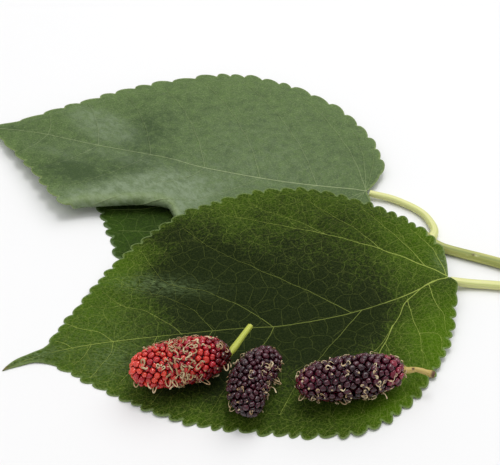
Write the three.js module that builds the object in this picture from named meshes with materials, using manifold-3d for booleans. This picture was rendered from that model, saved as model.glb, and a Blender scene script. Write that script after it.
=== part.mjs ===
// A mulberry sprig laid flat: a green shoot with three toothed, quilted leaves on their
// petioles, and three ripening berries that rest on the front leaf.
// Millimetres, +Z up, +X towards the cut end of the shoot. The sprig is laid out in a plan
// whose zero is near the middle of the leaves, and the group then carries it to its own frame.

import * as THREE from "three";
import { mergeVertices } from "three/addons/utils/BufferGeometryUtils.js";
import Module from "manifold-3d";

const wasm = await Module();
wasm.setup();

// ---------------------------------------------------------------- driving dimensions

const PLAN_CENTRE = new THREE.Vector2(13.2, -1.6); // middle of the sprig's box, in the plan

const BLADE_THICKNESS = 0.7;
const BLADE_REST = BLADE_THICKNESS / 2; // middle of a blade that lies on the surface
const MIDRIB_DEPTH = 0.9; // how far the midrib stands out under the blade
const CONTACT_LIFT = 0.16; // an underside nearer the surface than this is pressed flat on it
const QUILT_REACH = 16; // the swelling between veins is whole this far from the midrib
const VEIN_ROWS = 12; // vein intervals from the base of a leaf to its tip, on each side
const FAN_SHARE = 5 / VEIN_ROWS; // share of the margin that the veins from the base reach
const TOOTH_PHASES = [0, 0.3, 0.62, 0.88]; // places along a tooth, as shares of its length
const TOOTH_SWELL = [0, 0.72, 1, 0.86]; // how far the tooth stands out there, of its depth
const PLAIN_POINTS = 4; // steps of the margin before its first tooth and after its last
const TOOTH_FADE = 0.45; // the teeth at both ends of a margin are lower by this share
const QUILT_SPAN = 1.05; // the swelling has sunk away just inside the margin
const QUILT_FULLNESS = 0.7; // under 1 the swelling stays full nearer to the midrib and margin
const MIDRIB_SINK = { depth: 0.35, width: 0.2 }; // the groove over the midrib, of the quilting
const MIDRIB_TAPER = 0.8; // share of the midrib's depth that is gone at the tip

// A blade is laid in nested lines from its midrib (0) to just inside its teeth.
const BLADE_LINES = [
  { across: 0, points: 24 },
  { across: 0.1, points: 24 },
  { across: 0.38, points: 36 },
  { across: 0.68, points: 48 },
  { across: 0.93, points: 72 },
];

const STEM_SIDES = 10;
const STEM_STEP = 1.6; // from one cross-section of a stem to the next
const STALK_STEP = 0.9; // the same for the short stalks of the berries
const BUD = { sides: 8, points: 5, skew: 0.7, fullness: 0.8 };
const CURVE_SAMPLES = 400; // lengths that a curve is measured in to find a share of it

// Outlines run from the base of the leaf to its tip, as [along, across] from the midrib line.
// "near" is the side towards the berries and "far" the other one.
const FRONT_LEAF = {
  base: new THREE.Vector2(53.5, -23.1),
  heading: -164.7,
  near: [
    [0, 0], [-1.4, 3.4], [2.6, 10.5], [8.2, 20.8], [17.0, 30.9], [26.4, 38.3], [37.8, 43.3],
    [49.0, 42.0], [65.6, 35.8], [82.8, 27.0], [98.0, 12.0], [105.6, 3.2], [111.5, -0.9],
    [116.2, -1.0], [120.8, 0],
  ],
  far: [
    [0, 0], [-1.6, -5.2], [-1.9, -9.8], [1.5, -21.0], [10.0, -33.5], [24.0, -43.5],
    [40.0, -47.0], [54.0, -46.0], [65.5, -42.8], [77.0, -37.0], [89.0, -27.0], [100.6, -15.0],
    [107.8, -6.4], [112.5, -3.8], [117.3, -2.3], [120.8, 0],
  ],
  midrib: [
    [0, 0], [10, 2.6], [29, 4.6], [47, 3.9], [61, 1.4], [82, -1.5], [98.6, -2.9],
    [113, -2.2], [120.8, 0],
  ],
  teeth: { count: 33, from: 0.13, to: 0.91, depth: 1.0 },
  quilt: 0.75,
  height: frontLeafHeight,
};

const BACK_LEAF = {
  base: new THREE.Vector2(34, 16),
  heading: 165.1,
  near: [
    [0, 0], [-2.2, 6.0], [2.0, 15.0], [10.0, 24.5], [22.0, 31.0], [34.0, 32.0], [45.0, 29.0],
    [54.0, 26.4], [62.0, 27.2], [71.0, 30.0], [78.0, 31.6], [84.0, 29.6], [92.8, 21.4],
    [102.9, 12.0], [111.0, 5.4], [116.0, 2.0], [120.5, 0],
  ],
  far: [
    [0, 0], [-2.4, -7.0], [-1.0, -15.0], [7.0, -28.0], [19.0, -38.5], [32.0, -44.0],
    [45.0, -46.0], [58.8, -43.6], [79.0, -32.2], [91.2, -22.0], [102.0, -12.4],
    [109.5, -6.2], [115.7, -2.9], [120.5, 0],
  ],
  midrib: [[0, 0], [22, 2.4], [45, 3.2], [65, 2.6], [86, 1.5], [105, -0.4], [120.5, 0]],
  teeth: { count: 21, from: 0.13, to: 0.93, depth: 0.9 },
  quilt: 0.45,
  // The near margin is rolled under along this line, and lies flat again where it ends.
  roll: {
    radius: 1.4,
    line: [
      [44, 36], [49, 26.6], [53, 21.6], [62, 23.0], [71, 26.1], [77, 28.2], [82, 31.5], [88, 40],
    ],
  },
  height: backLeafHeight,
};

const LOWER_LEAF = {
  base: new THREE.Vector2(20, -24),
  heading: 135,
  near: [
    [0, 0], [-1.6, 5.0], [1.0, 13.0], [8.0, 24.0], [20.0, 33.0], [33.0, 35.6], [42.0, 33.4],
    [50.8, 29.6], [58.3, 25.4], [69.1, 20.2], [80.0, 12.6], [88.0, 5.0], [93.0, 2.0], [98, 0],
  ],
  far: [
    [0, 0], [-1.6, -5.0], [1.0, -13.0], [8.0, -24.0], [20.0, -32.6], [33.0, -35.0],
    [46.0, -32.0], [60.0, -24.6], [72.0, -17.4], [82.0, -9.6], [89.0, -3.8], [98, 0],
  ],
  midrib: [[0, 0], [20, 0.8], [45, 0.4], [70, -0.6], [98, 0]],
  teeth: { count: 25, from: 0.13, to: 0.92, depth: 1.35 },
  quilt: 0.12,
  height: lowerLeafHeight,
};

// How high the leaves lie. A pair of numbers under x or y is where in the plan a change starts
// and where it is whole, and "mounds" are round rises with their spread.

// The lower leaf lies on the surface, lifted a little at its base by its own petiole.
const LOWER_LIE = { mounds: [{ at: [20, -24], spread: 7, rise: 1.0 }] };

// The back leaf bridges the lower leaf: high along its rolled edge and low at its tip and
// outer side, and it dips where the front leaf lies over it.
const BACK_LIE = {
  high: 5.8,
  outer: { drop: 1.7, y: [8, 45] },
  tip: { drop: 1.2, x: [-84, -56] },
  base: { drop: 0.8, x: [-10, 34] },
  underFront: { height: 2.45, x: [-27, -15], y: [16, 36] },
};

// The front leaf lies on the surface along its near side and climbs over the other two leaves.
const FRONT_LIE = {
  climb: { rise: 4.4, x: [-58, 2], y: [-50, -4] },
  mounds: [
    { at: [-19, 3], spread: 7, rise: 1.6 }, // over the rolled edge of the back leaf
    { at: [49, -50], spread: 12, rise: 1.9 }, // the lobe beside the petiole
    { at: [50.5, -28.5], spread: 4.2, rise: 1.6 }, // the fold over the end of the petiole
  ],
  swag: 0.5, // belly of the near side between the midrib and the margin
  wave: { rise: 0.55, count: 3, start: 0.6 }, // of the margin
  trough: { rise: 0.9, run: [0.88, 0.97] }, // both margins turn up at the drip tip
};

// Berries: the line through the middle of each from its free end to its stalk.
const RED_BERRY = {
  axis: [[-30.0, -62.8, 8.0], [-17.5, -60.0, 8.2], [-4.8, -55.8, 8.1]],
  radius: 6.2,
  pitch: 2.9,
  swell: 0.75,
  seed: 11,
};
const CURVED_BERRY = {
  axis: [
    [1.6, -75.4, 6.6], [-0.6, -70.0, 6.9], [0.2, -64.6, 7.2], [3.4, -59.6, 7.4], [6.0, -55.4, 7.2],
  ],
  radius: 5.5,
  pitch: 2.8,
  swell: 0.7,
  seed: 23,
};
const DARK_BERRY = {
  axis: [[11.0, -66.8, 7.5], [23.0, -65.2, 7.8], [38.2, -61.8, 7.7]],
  radius: 5.9,
  pitch: 2.8,
  swell: 0.7,
  seed: 37,
};

// How the drupelets of every berry are laid out and shaped.
const DRUPELETS = {
  ringSpacing: 0.87, // from one ring to the next, of the pitch
  fewest: 5, // in a ring, next to the ends
  strayAround: 0.32, // of the space that a drupelet has in its ring
  strayAlong: 0.22, // of the pitch
  smallest: 0.86, // of the swell
  largest: 1.14,
  shoulderOut: 0.64, // how far out towards the valleys a drupelet's shoulder lies
  shoulderRise: 0.72, // of the swell
  valleyDepth: 0.1, // of the swell
};
const BERRY_FULLNESS = 0.72; // under 1 the ends of a berry are blunter than an ellipse's
const BERRY_PROFILE_STEPS = 180;
const BERRY_SECTIONS = 64;
const FAN_END = 0.22; // the drupelets at a berry's ends fan out from this share of its axis

// Stems: points in the plan with their height, and the radius at each.
const SHOOT = [
  { at: [108, -39, 1.9], radius: 1.75 },
  { at: [98, -32.5, 1.75], radius: 1.65 },
  { at: [90.5, -27.4, 1.75], radius: 1.75 },
  { at: [87.5, -25.2, 2.05], radius: 2.05 },
  { at: [84, -22.8, 1.7], radius: 1.6 },
  { at: [69, -15.0, 1.5], radius: 1.45 },
  { at: [54.3, -8.7, 1.5], radius: 1.35 },
  { at: [50.5, -6.6, 1.7], radius: 1.6 },
  { at: [47, -4.4, 1.5], radius: 1.25 },
  { at: [43.4, -1.6, 1.5], radius: 1.4 },
  { at: [41, 0.6, 1.2], radius: 0.85 },
  { at: [39.4, 2.2, 1.2], radius: 0.95 },
  { at: [37.2, 4.4, 1.25], radius: 0.25 },
];
const SHOOT_BUDS = [
  { at: [88.6, -23.6, 2.6], along: [-0.5, 0.75, 0.3], length: 4.2, radius: 1.15 },
  { at: [51.2, -7.9, 2.0], along: [-0.75, -0.55, 0.3], length: 3.4, radius: 0.95 },
];
const FRONT_PETIOLE = [
  { at: [84.5, -27.2, 1.6], radius: 1.5 },
  { at: [81, -26.6, 1.4], radius: 1.3 },
  { at: [67.6, -24.0, 1.35], radius: 1.2 },
  { at: [59.5, -23.2, 1.5], radius: 1.2 },
  { at: [54.3, -23.2, 2.45], radius: 1.1 },
];
const BACK_PETIOLE = [
  { at: [51.1, -4.5, 1.65], radius: 1.4 },
  { at: [52.2, -0.8, 1.3], radius: 1.15 },
  { at: [49.8, 6.8, 1.2], radius: 1.05 },
  { at: [42.2, 13.2, 1.3], radius: 1.05 },
  { at: [35.0, 15.7, 1.75], radius: 1.0 },
];
const LOWER_PETIOLE = [
  { at: [43.0, -3.9, 1.3], radius: 1.2 },
  { at: [41.4, -8.6, 1.1], radius: 1.0 },
  { at: [37.2, -19.0, 1.0], radius: 0.9 },
  { at: [30.6, -27.6, 0.9], radius: 0.85 },
  { at: [24.6, -28.2, 1.0], radius: 0.85 },
  { at: [20.6, -24.7, 1.15], radius: 0.75 },
];
const RED_STALK = [
  { at: [-4.1, -55.3, 8.4], radius: 0.95 },
  { at: [-1.9, -51.6, 9.0], radius: 0.75 },
  { at: [0.6, -47.2, 9.2], radius: 0.65 },
];
const DARK_STALK = [
  { at: [39.4, -61.9, 7.4], radius: 0.7 },
  { at: [41.4, -61.7, 7.4], radius: 0.65 },
  { at: [44.2, -62.2, 7.0], radius: 0.8 },
  { at: [45.6, -62.6, 6.8], radius: 0.75 },
];

const COLOURS = {
  frontBlade: 0x45582a,
  backBlade: 0x6d7d58,
  lowerBlade: 0x2c3b1a,
  shoot: 0x9ea24f,
  petiole: 0xc4c684,
  redBerry: 0x96302f,
  darkBerry: 0x2b1c22,
  berryStalk: 0xa9a750,
};

// ---------------------------------------------------------------- small helpers

const clamp = THREE.MathUtils.clamp;

function easeUp(from, to, value) {
  return THREE.MathUtils.smoothstep(value, from, to);
}

// The height that a list of round mounds adds at a place in the plan.
function moundsAt(mounds, x, y) {
  return mounds.reduce((sum, { at, spread, rise }) => {
    const squared = (x - at[0]) ** 2 + (y - at[1]) ** 2;
    return sum + rise * Math.exp(-squared / (2 * spread * spread));
  }, 0);
}

// A repeatable draw between 0 and 1.
function seededDraw(seed) {
  let state = seed >>> 0;
  return () => {
    state = (Math.imul(state, 1664525) + 1013904223) >>> 0;
    return state / 2 ** 32;
  };
}

function planCurve(points) {
  const curve = new THREE.SplineCurve(points.map(([a, c]) => new THREE.Vector2(a, c)));
  curve.arcLengthDivisions = 600;
  return curve;
}

function indexedGeometry(vertices, faces) {
  const places = vertices.flatMap((vertex) => vertex.toArray());
  const geometry = new THREE.BufferGeometry();
  geometry.setAttribute("position", new THREE.Float32BufferAttribute(places, 3));
  geometry.setIndex(faces.flat());
  return geometry;
}

// Triangles between two lines of points that are ordered by the same key.
// Points shared by both lines close the band to a corner.
function zip(inner, outer) {
  const faces = [];
  let i = 0;
  let j = 0;
  while (i < inner.length - 1 || j < outer.length - 1) {
    const innerTurn =
      j === outer.length - 1 || (i < inner.length - 1 && inner[i + 1].key <= outer[j + 1].key);
    const next = innerTurn ? inner[i + 1].id : outer[j + 1].id;
    const face = [inner[i].id, outer[j].id, next];
    if (new Set(face).size === 3) faces.push(face);
    if (innerTurn) i += 1;
    else j += 1;
  }
  return faces;
}

function toSolid(geometry) {
  const bare = new THREE.BufferGeometry();
  bare.setAttribute("position", geometry.getAttribute("position"));
  bare.setIndex(geometry.index);
  const merged = mergeVertices(bare, 1e-4);
  return new wasm.Manifold(
    new wasm.Mesh({
      numProp: 3,
      vertProperties: merged.attributes.position.array,
      triVerts: new Uint32Array(merged.index.array),
    }),
  );
}

function fromSolid(solid) {
  const mesh = solid.getMesh();
  const geometry = new THREE.BufferGeometry();
  geometry.setAttribute("position", new THREE.BufferAttribute(mesh.vertProperties, 3));
  geometry.setIndex(new THREE.BufferAttribute(mesh.triVerts, 1));
  return geometry;
}

// ---------------------------------------------------------------- how the leaves lie

function lowerLeafHeight(x, y) {
  return BLADE_REST + moundsAt(LOWER_LIE.mounds, x, y);
}

function backLeafHeight(x, y) {
  const { high, outer, tip, base, underFront } = BACK_LIE;
  const inland =
    high - outer.drop * easeUp(...outer.y, y) - tip.drop * (1 - easeUp(...tip.x, x)) -
    base.drop * easeUp(...base.x, x);
  const under = easeUp(...underFront.x, x) * (1 - easeUp(...underFront.y, y));
  return THREE.MathUtils.lerp(inland, underFront.height, under);
}

function frontLeafHeight(x, y, spot) {
  const { climb, mounds, swag, wave, trough } = FRONT_LIE;
  const climbed = climb.rise * easeUp(...climb.y, y) * easeUp(...climb.x, x);
  const belly = spot.side > 0 ? swag * Math.sin(Math.PI * spot.across) : 0;
  const turn = 2 * Math.PI * wave.count * spot.run + wave.start;
  const waved = wave.rise * spot.across ** 3 * Math.sin(turn);
  const edge = trough.rise * spot.across * easeUp(...trough.run, spot.run);
  return BLADE_REST + climbed + moundsAt(mounds, x, y) + belly + waved + edge;
}

// ---------------------------------------------------------------- leaf blades

// Where a row of the blade starts on the midrib, for its place along the margin.
function midribShare(run) {
  return run <= FAN_SHARE ? 0 : (run - FAN_SHARE) / (1 - FAN_SHARE);
}

// The blade swells between one vein and the next, and sinks along the midrib.
function quilting(leaf, spot) {
  const interval = Math.sin(Math.PI * spot.run * VEIN_ROWS) ** 2;
  const body = Math.sin(Math.PI * Math.min(1, spot.across * QUILT_SPAN)) ** QUILT_FULLNESS;
  const strength = easeUp(0, QUILT_REACH, spot.reach);
  const groove = MIDRIB_SINK.depth * (1 - easeUp(0, MIDRIB_SINK.width, spot.across));
  return leaf.quilt * (interval * body * strength - groove);
}

// Bends what lies past the roll line down and under.
function rolledAcross(leaf, along, across) {
  if (!leaf.roll || across <= 0) return { across, drop: 0 };
  const { line, radius } = leaf.roll;
  const ends = line.findIndex(([a]) => a > along);
  if (ends <= 0) return { across, drop: 0 };
  const [a0, c0] = line[ends - 1];
  const [a1, c1] = line[ends];
  const fold = THREE.MathUtils.mapLinear(along, a0, a1, c0, c1);
  const past = (across - fold) / radius;
  if (past <= 0) return { across, drop: 0 };
  return { across: fold + radius * Math.sin(past), drop: radius * (1 - Math.cos(past)) };
}

function placeSpot(leaf, spot) {
  const bent = rolledAcross(leaf, spot.at.x, spot.at.y);
  const turn = THREE.MathUtils.degToRad(leaf.heading);
  const x = leaf.base.x + spot.at.x * Math.cos(turn) - bent.across * Math.sin(turn);
  const y = leaf.base.y + spot.at.x * Math.sin(turn) + bent.across * Math.cos(turn);
  const lie = leaf.height(x, y, spot) + quilting(leaf, spot) - bent.drop;
  return new THREE.Vector3(x, y, Math.max(lie, BLADE_REST));
}

// The toothed margin of one side: plain at the base and at the drip tip, and between them
// round teeth that lean towards the tip.
function marginSpots(leaf, side, margin) {
  const { count, from, to, depth } = leaf.teeth;
  const spots = [];
  const add = (run, swell) => {
    const at = margin.getPointAt(run);
    const tangent = margin.getTangentAt(run);
    at.x += swell * depth * -tangent.y * side;
    at.y += swell * depth * tangent.x * side;
    spots.push({ at, run, across: 1, side });
  };
  for (let i = 1; i < PLAIN_POINTS; i += 1) add((from * i) / PLAIN_POINTS, 0);
  for (let tooth = 0; tooth < count; tooth += 1) {
    TOOTH_PHASES.forEach((phase, k) => {
      const run = from + ((to - from) * (tooth + phase)) / count;
      const fade = 1 - TOOTH_FADE * (1 - Math.sin((Math.PI * tooth) / count));
      add(run, TOOTH_SWELL[k] * fade);
    });
  }
  for (let i = 0; i < PLAIN_POINTS; i += 1) add(to + ((1 - to) * i) / PLAIN_POINTS, 0);
  return spots;
}

function bladeGeometry(leaf) {
  const midrib = planCurve(leaf.midrib);
  const spots = [];
  const faces = [];
  const store = (spot) => {
    const reach = spot.at.distanceTo(midrib.getPointAt(midribShare(spot.run)));
    return { key: spot.run, id: spots.push({ ...spot, reach }) - 1 };
  };
  const onMidrib = (run) => store({ at: midrib.getPointAt(midribShare(run)), run, across: 0, side: 1 });

  const base = onMidrib(0);
  const tip = onMidrib(1);
  const spine = [base];
  for (let i = 1; i < BLADE_LINES[0].points; i += 1) {
    spine.push(onMidrib(FAN_SHARE + ((1 - FAN_SHARE) * i) / BLADE_LINES[0].points));
  }
  spine.push(tip);

  const rims = [];
  for (const side of [1, -1]) {
    const margin = planCurve(side > 0 ? leaf.near : leaf.far);
    const lines = BLADE_LINES.slice(1).map(({ across, points }) => {
      const line = [base];
      for (let i = 1; i < points; i += 1) {
        const run = i / points;
        const at = midrib.getPointAt(midribShare(run)).lerp(margin.getPointAt(run), across);
        line.push(store({ at, run, across, side }));
      }
      return [...line, tip];
    });
    const rim = marginSpots(leaf, side, margin).map(store);
    lines.push([base, ...rim, tip]);
    rims.push(rim.map(({ id }) => id));
    [spine, ...lines].reduce((inner, outer) => {
      for (const face of zip(inner, outer)) faces.push(side > 0 ? face : face.toReversed());
      return outer;
    });
  }
  const outline = [base.id, ...rims[0], tip.id, ...rims[1].toReversed()];
  return thicken(spots.map((spot) => placeSpot(leaf, spot)), ribDepths(spots), faces, outline);
}

// How far the underside stands out below the blade at each spot.
function ribDepths(spots) {
  return spots.map(({ run, across }) => {
    return across === 0 ? MIDRIB_DEPTH * (1 - MIDRIB_TAPER * midribShare(run)) : 0;
  });
}

// Gives the middle surface its thickness: both faces share one set of triangles, and the
// underside stands out by the given depths more.
function thicken(middle, depths, faces, outline) {
  const sheet = indexedGeometry(middle, faces);
  sheet.computeVertexNormals();
  const normals = middle.map((_, i) => {
    return new THREE.Vector3().fromBufferAttribute(sheet.attributes.normal, i);
  });
  const sign = normals[outline[1]].z < 0 ? -1 : 1;
  const over = middle.map((point, i) => {
    return point.clone().addScaledVector(normals[i], (sign * BLADE_THICKNESS) / 2);
  });
  const under = middle.map((point, i) => {
    const bottom = point.clone();
    bottom.addScaledVector(normals[i], -sign * (BLADE_THICKNESS / 2 + depths[i]));
    if (bottom.z < CONTACT_LIFT) bottom.z = 0;
    return bottom;
  });
  const count = middle.length;
  const up = sign > 0 ? faces : faces.map((face) => face.toReversed());
  const down = up.map(([a, b, c]) => [a + count, c + count, b + count]);
  const loop = sign > 0 ? outline : outline.toReversed();
  const edge = loop.flatMap((a, i) => {
    const b = loop[(i + 1) % loop.length];
    return [[a, a + count, b], [b, a + count, b + count]];
  });
  return indexedGeometry([...over, ...under], [...up, ...down, ...edge]);
}

// ---------------------------------------------------------------- stems

// A round stem through the given points, swelling with their radii, closed at both ends.
function stemGeometry(stations, step) {
  const curve = new THREE.CatmullRomCurve3(stations.map(({ at }) => new THREE.Vector3(...at)));
  const steps = Math.round(curve.getLength() / step);
  const frames = curve.computeFrenetFrames(steps, false);
  const shares = stations.map((_, i) => nearestShare(curve, i / (stations.length - 1)));
  const vertices = [];
  const faces = [];
  for (let i = 0; i <= steps; i += 1) {
    const share = i / steps;
    const centre = curve.getPointAt(share);
    const radius = radiusAt(stations, shares, share);
    for (let k = 0; k < STEM_SIDES; k += 1) {
      const angle = (2 * Math.PI * k) / STEM_SIDES;
      vertices.push(
        centre.clone()
          .addScaledVector(frames.normals[i], radius * Math.cos(angle))
          .addScaledVector(frames.binormals[i], radius * Math.sin(angle)),
      );
    }
  }
  for (let i = 0; i < steps; i += 1) {
    for (let k = 0; k < STEM_SIDES; k += 1) {
      const a = i * STEM_SIDES + k;
      const b = i * STEM_SIDES + ((k + 1) % STEM_SIDES);
      faces.push([a, b, a + STEM_SIDES], [b, b + STEM_SIDES, a + STEM_SIDES]);
    }
  }
  const last = steps * STEM_SIDES;
  for (let k = 1; k < STEM_SIDES - 1; k += 1) {
    faces.push([0, k + 1, k], [last, last + k, last + k + 1]);
  }
  vertices.forEach((vertex) => {
    vertex.z = Math.max(vertex.z, 0);
  });
  return indexedGeometry(vertices, faces);
}

// The share of a curve's length at which its parameter has the given value.
function nearestShare(curve, parameter) {
  const lengths = curve.getLengths(CURVE_SAMPLES);
  return lengths[Math.round(parameter * CURVE_SAMPLES)] / lengths[CURVE_SAMPLES];
}

function radiusAt(stations, shares, share) {
  const next = clamp(shares.findIndex((s) => s >= share), 1, stations.length - 1);
  const t = easeUp(shares[next - 1], shares[next], share);
  return THREE.MathUtils.lerp(stations[next - 1].radius, stations[next].radius, t);
}

// A pointed bud that leans along the shoot.
function budGeometry(bud) {
  const profile = [];
  for (let i = 0; i <= BUD.points; i += 1) {
    const t = i / BUD.points;
    const radius = bud.radius * Math.max(0, Math.sin(Math.PI * t ** BUD.skew)) ** BUD.fullness;
    profile.push(new THREE.Vector2(i % BUD.points === 0 ? 0 : radius, bud.length * t));
  }
  const geometry = new THREE.LatheGeometry(profile, BUD.sides);
  const upright = new THREE.Vector3(0, 1, 0);
  const lean = new THREE.Vector3(...bud.along).normalize();
  geometry.applyQuaternion(new THREE.Quaternion().setFromUnitVectors(upright, lean));
  geometry.translate(...bud.at);
  geometry.deleteAttribute("normal");
  geometry.deleteAttribute("uv");
  return geometry;
}

function shootGeometry() {
  let solid = toSolid(stemGeometry(SHOOT, STEM_STEP));
  for (const bud of SHOOT_BUDS) solid = solid.add(toSolid(budGeometry(bud)));
  return fromSolid(solid);
}

// ---------------------------------------------------------------- berries

// The berry's half outline, with the distance travelled along it from the free end.
function berryProfile(berry, half) {
  const profile = [];
  let travelled = 0;
  for (let i = 0; i <= BERRY_PROFILE_STEPS; i += 1) {
    const turn = (Math.PI * i) / BERRY_PROFILE_STEPS;
    const x = -half * Math.cos(turn);
    const r = (berry.radius - berry.swell) * Math.sin(turn) ** BERRY_FULLNESS;
    if (i > 0) travelled += Math.hypot(x - profile[i - 1].x, r - profile[i - 1].r);
    profile.push({ x, r, travelled });
  }
  return profile;
}

// Rings of drupelet places along the berry, an even pitch apart on its surface.
function drupeletRings(berry) {
  const axis = new THREE.CatmullRomCurve3(berry.axis.map((p) => new THREE.Vector3(...p)));
  const half = axis.getLength() / 2;
  const frames = axis.computeFrenetFrames(BERRY_SECTIONS, false);
  const profile = berryProfile(berry, half);
  const whole = profile[BERRY_PROFILE_STEPS].travelled;
  const rows = Math.round(whole / (berry.pitch * DRUPELETS.ringSpacing));
  const draw = seededDraw(berry.seed);
  const stray = (width) => (draw() - 0.5) * width;
  const rings = [];
  for (let row = 0; row <= rows; row += 1) {
    const reached = (whole * row) / rows;
    const spot = profile.find((p) => p.travelled >= reached) ?? profile[BERRY_PROFILE_STEPS];
    const pole = row === 0 || row === rows;
    const fit = Math.round((2 * Math.PI * spot.r) / berry.pitch);
    const count = pole ? 1 : Math.max(DRUPELETS.fewest, fit);
    const ring = [];
    for (let k = 0; k < count; k += 1) {
      const loose = pole ? 0 : stray(DRUPELETS.strayAround);
      const angle = (2 * Math.PI * (k + 0.5 * (row % 2) + loose)) / count;
      const shift = pole ? 0 : stray(DRUPELETS.strayAlong * berry.pitch);
      const share = clamp((spot.x + shift + half) / (2 * half), 0, 1);
      const section = Math.round(share * BERRY_SECTIONS);
      const at = axis.getPointAt(share)
        .addScaledVector(frames.normals[section], spot.r * Math.cos(angle))
        .addScaledVector(frames.binormals[section], spot.r * Math.sin(angle));
      const heart = axis.getPointAt(clamp(share, FAN_END, 1 - FAN_END));
      const size = THREE.MathUtils.lerp(DRUPELETS.smallest, DRUPELETS.largest, draw());
      ring.push({ at, outward: at.clone().sub(heart).normalize(), swell: berry.swell * size, angle });
    }
    rings.push(ring);
  }
  return rings;
}

// Triangles that join the drupelet places, ring to ring.
function ringTriangles(rings) {
  const faces = [];
  let start = 0;
  for (let row = 0; row + 1 < rings.length; row += 1) {
    const next = start + rings[row].length;
    const line = (ring, first) => {
      const points = ring.map(({ angle }, k) => ({ key: angle, id: first + k }));
      return [...points, { key: points[0].key + 2 * Math.PI, id: first }];
    };
    faces.push(...zip(line(rings[row + 1], next), line(rings[row], start)));
    start = next;
  }
  return faces;
}

// Each drupelet is a low dome over its own cell, and the cells meet in valleys.
function berryGeometry(berry) {
  const rings = drupeletRings(berry);
  const seeds = rings.flat();
  const joins = ringTriangles(rings);
  const vertices = seeds.map(({ at, outward, swell }) => at.clone().addScaledVector(outward, swell));
  const valleys = joins.map((face) => {
    const middle = new THREE.Vector3();
    const outward = new THREE.Vector3();
    for (const id of face) {
      middle.addScaledVector(seeds[id].at, 1 / face.length);
      outward.add(seeds[id].outward);
    }
    middle.addScaledVector(outward.normalize(), -DRUPELETS.valleyDepth * berry.swell);
    return vertices.push(middle) - 1;
  });
  const joinLeftOf = new Map();
  joins.forEach(([a, b, c], join) => {
    joinLeftOf.set(`${a},${b}`, join);
    joinLeftOf.set(`${b},${c}`, join);
    joinLeftOf.set(`${c},${a}`, join);
  });
  const shoulders = new Map();
  const shoulder = (seed, join) => {
    const key = `${seed},${join}`;
    if (!shoulders.has(key)) {
      const { at, outward, swell } = seeds[seed];
      const point = at.clone().lerp(vertices[valleys[join]], DRUPELETS.shoulderOut);
      point.addScaledVector(outward, swell * DRUPELETS.shoulderRise);
      shoulders.set(key, vertices.push(point) - 1);
    }
    return shoulders.get(key);
  };
  const faces = [];
  for (const [key, left] of joinLeftOf) {
    const [a, b] = key.split(",").map(Number);
    const right = joinLeftOf.get(`${b},${a}`);
    const near = shoulder(a, right);
    const far = shoulder(a, left);
    faces.push([a, near, far]);
    faces.push([near, valleys[right], valleys[left]], [near, valleys[left], far]);
  }
  return indexedGeometry(vertices, faces);
}

// ---------------------------------------------------------------- the sprig

function finish(colour, roughness) {
  return new THREE.MeshStandardMaterial({ color: colour, roughness, metalness: 0 });
}

const plan = new THREE.Group();
plan.position.set(-PLAN_CENTRE.x, -PLAN_CENTRE.y, 0);

function addPiece(name, geometry, colour, roughness) {
  const mesh = new THREE.Mesh(geometry, finish(colour, roughness));
  mesh.name = name;
  plan.add(mesh);
}

addPiece("front_leaf", bladeGeometry(FRONT_LEAF), COLOURS.frontBlade, 0.45);
addPiece("back_leaf", bladeGeometry(BACK_LEAF), COLOURS.backBlade, 0.5);
addPiece("lower_leaf", bladeGeometry(LOWER_LEAF), COLOURS.lowerBlade, 0.5);
addPiece("shoot", shootGeometry(), COLOURS.shoot, 0.5);
addPiece("front_petiole", stemGeometry(FRONT_PETIOLE, STEM_STEP), COLOURS.petiole, 0.45);
addPiece("back_petiole", stemGeometry(BACK_PETIOLE, STEM_STEP), COLOURS.petiole, 0.45);
addPiece("lower_petiole", stemGeometry(LOWER_PETIOLE, STEM_STEP), COLOURS.petiole, 0.45);
addPiece("red_berry", berryGeometry(RED_BERRY), COLOURS.redBerry, 0.3);
addPiece("curved_berry", berryGeometry(CURVED_BERRY), COLOURS.darkBerry, 0.3);
addPiece("dark_berry", berryGeometry(DARK_BERRY), COLOURS.darkBerry, 0.3);
addPiece("red_berry_stalk", stemGeometry(RED_STALK, STALK_STEP), COLOURS.berryStalk, 0.5);
addPiece("dark_berry_stalk", stemGeometry(DARK_STALK, STALK_STEP), COLOURS.berryStalk, 0.5);

const sprig = new THREE.Group();
sprig.add(plan);

export default sprig;
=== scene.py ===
"""A mulberry sprig, dressed: three veined leaves on their petioles, a cut green shoot and
three ripening berries that rest on the front leaf.

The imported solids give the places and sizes. Each visible piece here is a finer mesh that
stands for one of them, laid out in the same plan, in millimetres, and turned to metres when
its mesh is made.
"""

from __future__ import annotations

import logging
import math
from dataclasses import dataclass
from enum import Enum, IntEnum
from typing import Protocol, Sequence

import bpy
import numpy as np
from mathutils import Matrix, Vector
from mathutils.geometry import delaunay_2d_cdt
from mathutils.kdtree import KDTree

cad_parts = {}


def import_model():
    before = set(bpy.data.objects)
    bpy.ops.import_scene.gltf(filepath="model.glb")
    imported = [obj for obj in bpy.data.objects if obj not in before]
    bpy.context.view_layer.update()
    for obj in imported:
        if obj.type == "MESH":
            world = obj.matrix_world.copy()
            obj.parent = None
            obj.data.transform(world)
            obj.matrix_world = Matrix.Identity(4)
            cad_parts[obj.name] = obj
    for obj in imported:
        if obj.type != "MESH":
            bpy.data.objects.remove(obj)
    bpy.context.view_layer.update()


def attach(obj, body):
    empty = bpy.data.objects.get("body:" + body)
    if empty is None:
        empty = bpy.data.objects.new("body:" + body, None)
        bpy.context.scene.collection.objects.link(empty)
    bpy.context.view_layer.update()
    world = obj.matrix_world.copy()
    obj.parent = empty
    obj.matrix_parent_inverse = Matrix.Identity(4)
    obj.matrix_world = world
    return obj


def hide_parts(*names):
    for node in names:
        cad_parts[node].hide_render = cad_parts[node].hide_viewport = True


LOG = logging.getLogger("mulberry_sprig")

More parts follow.
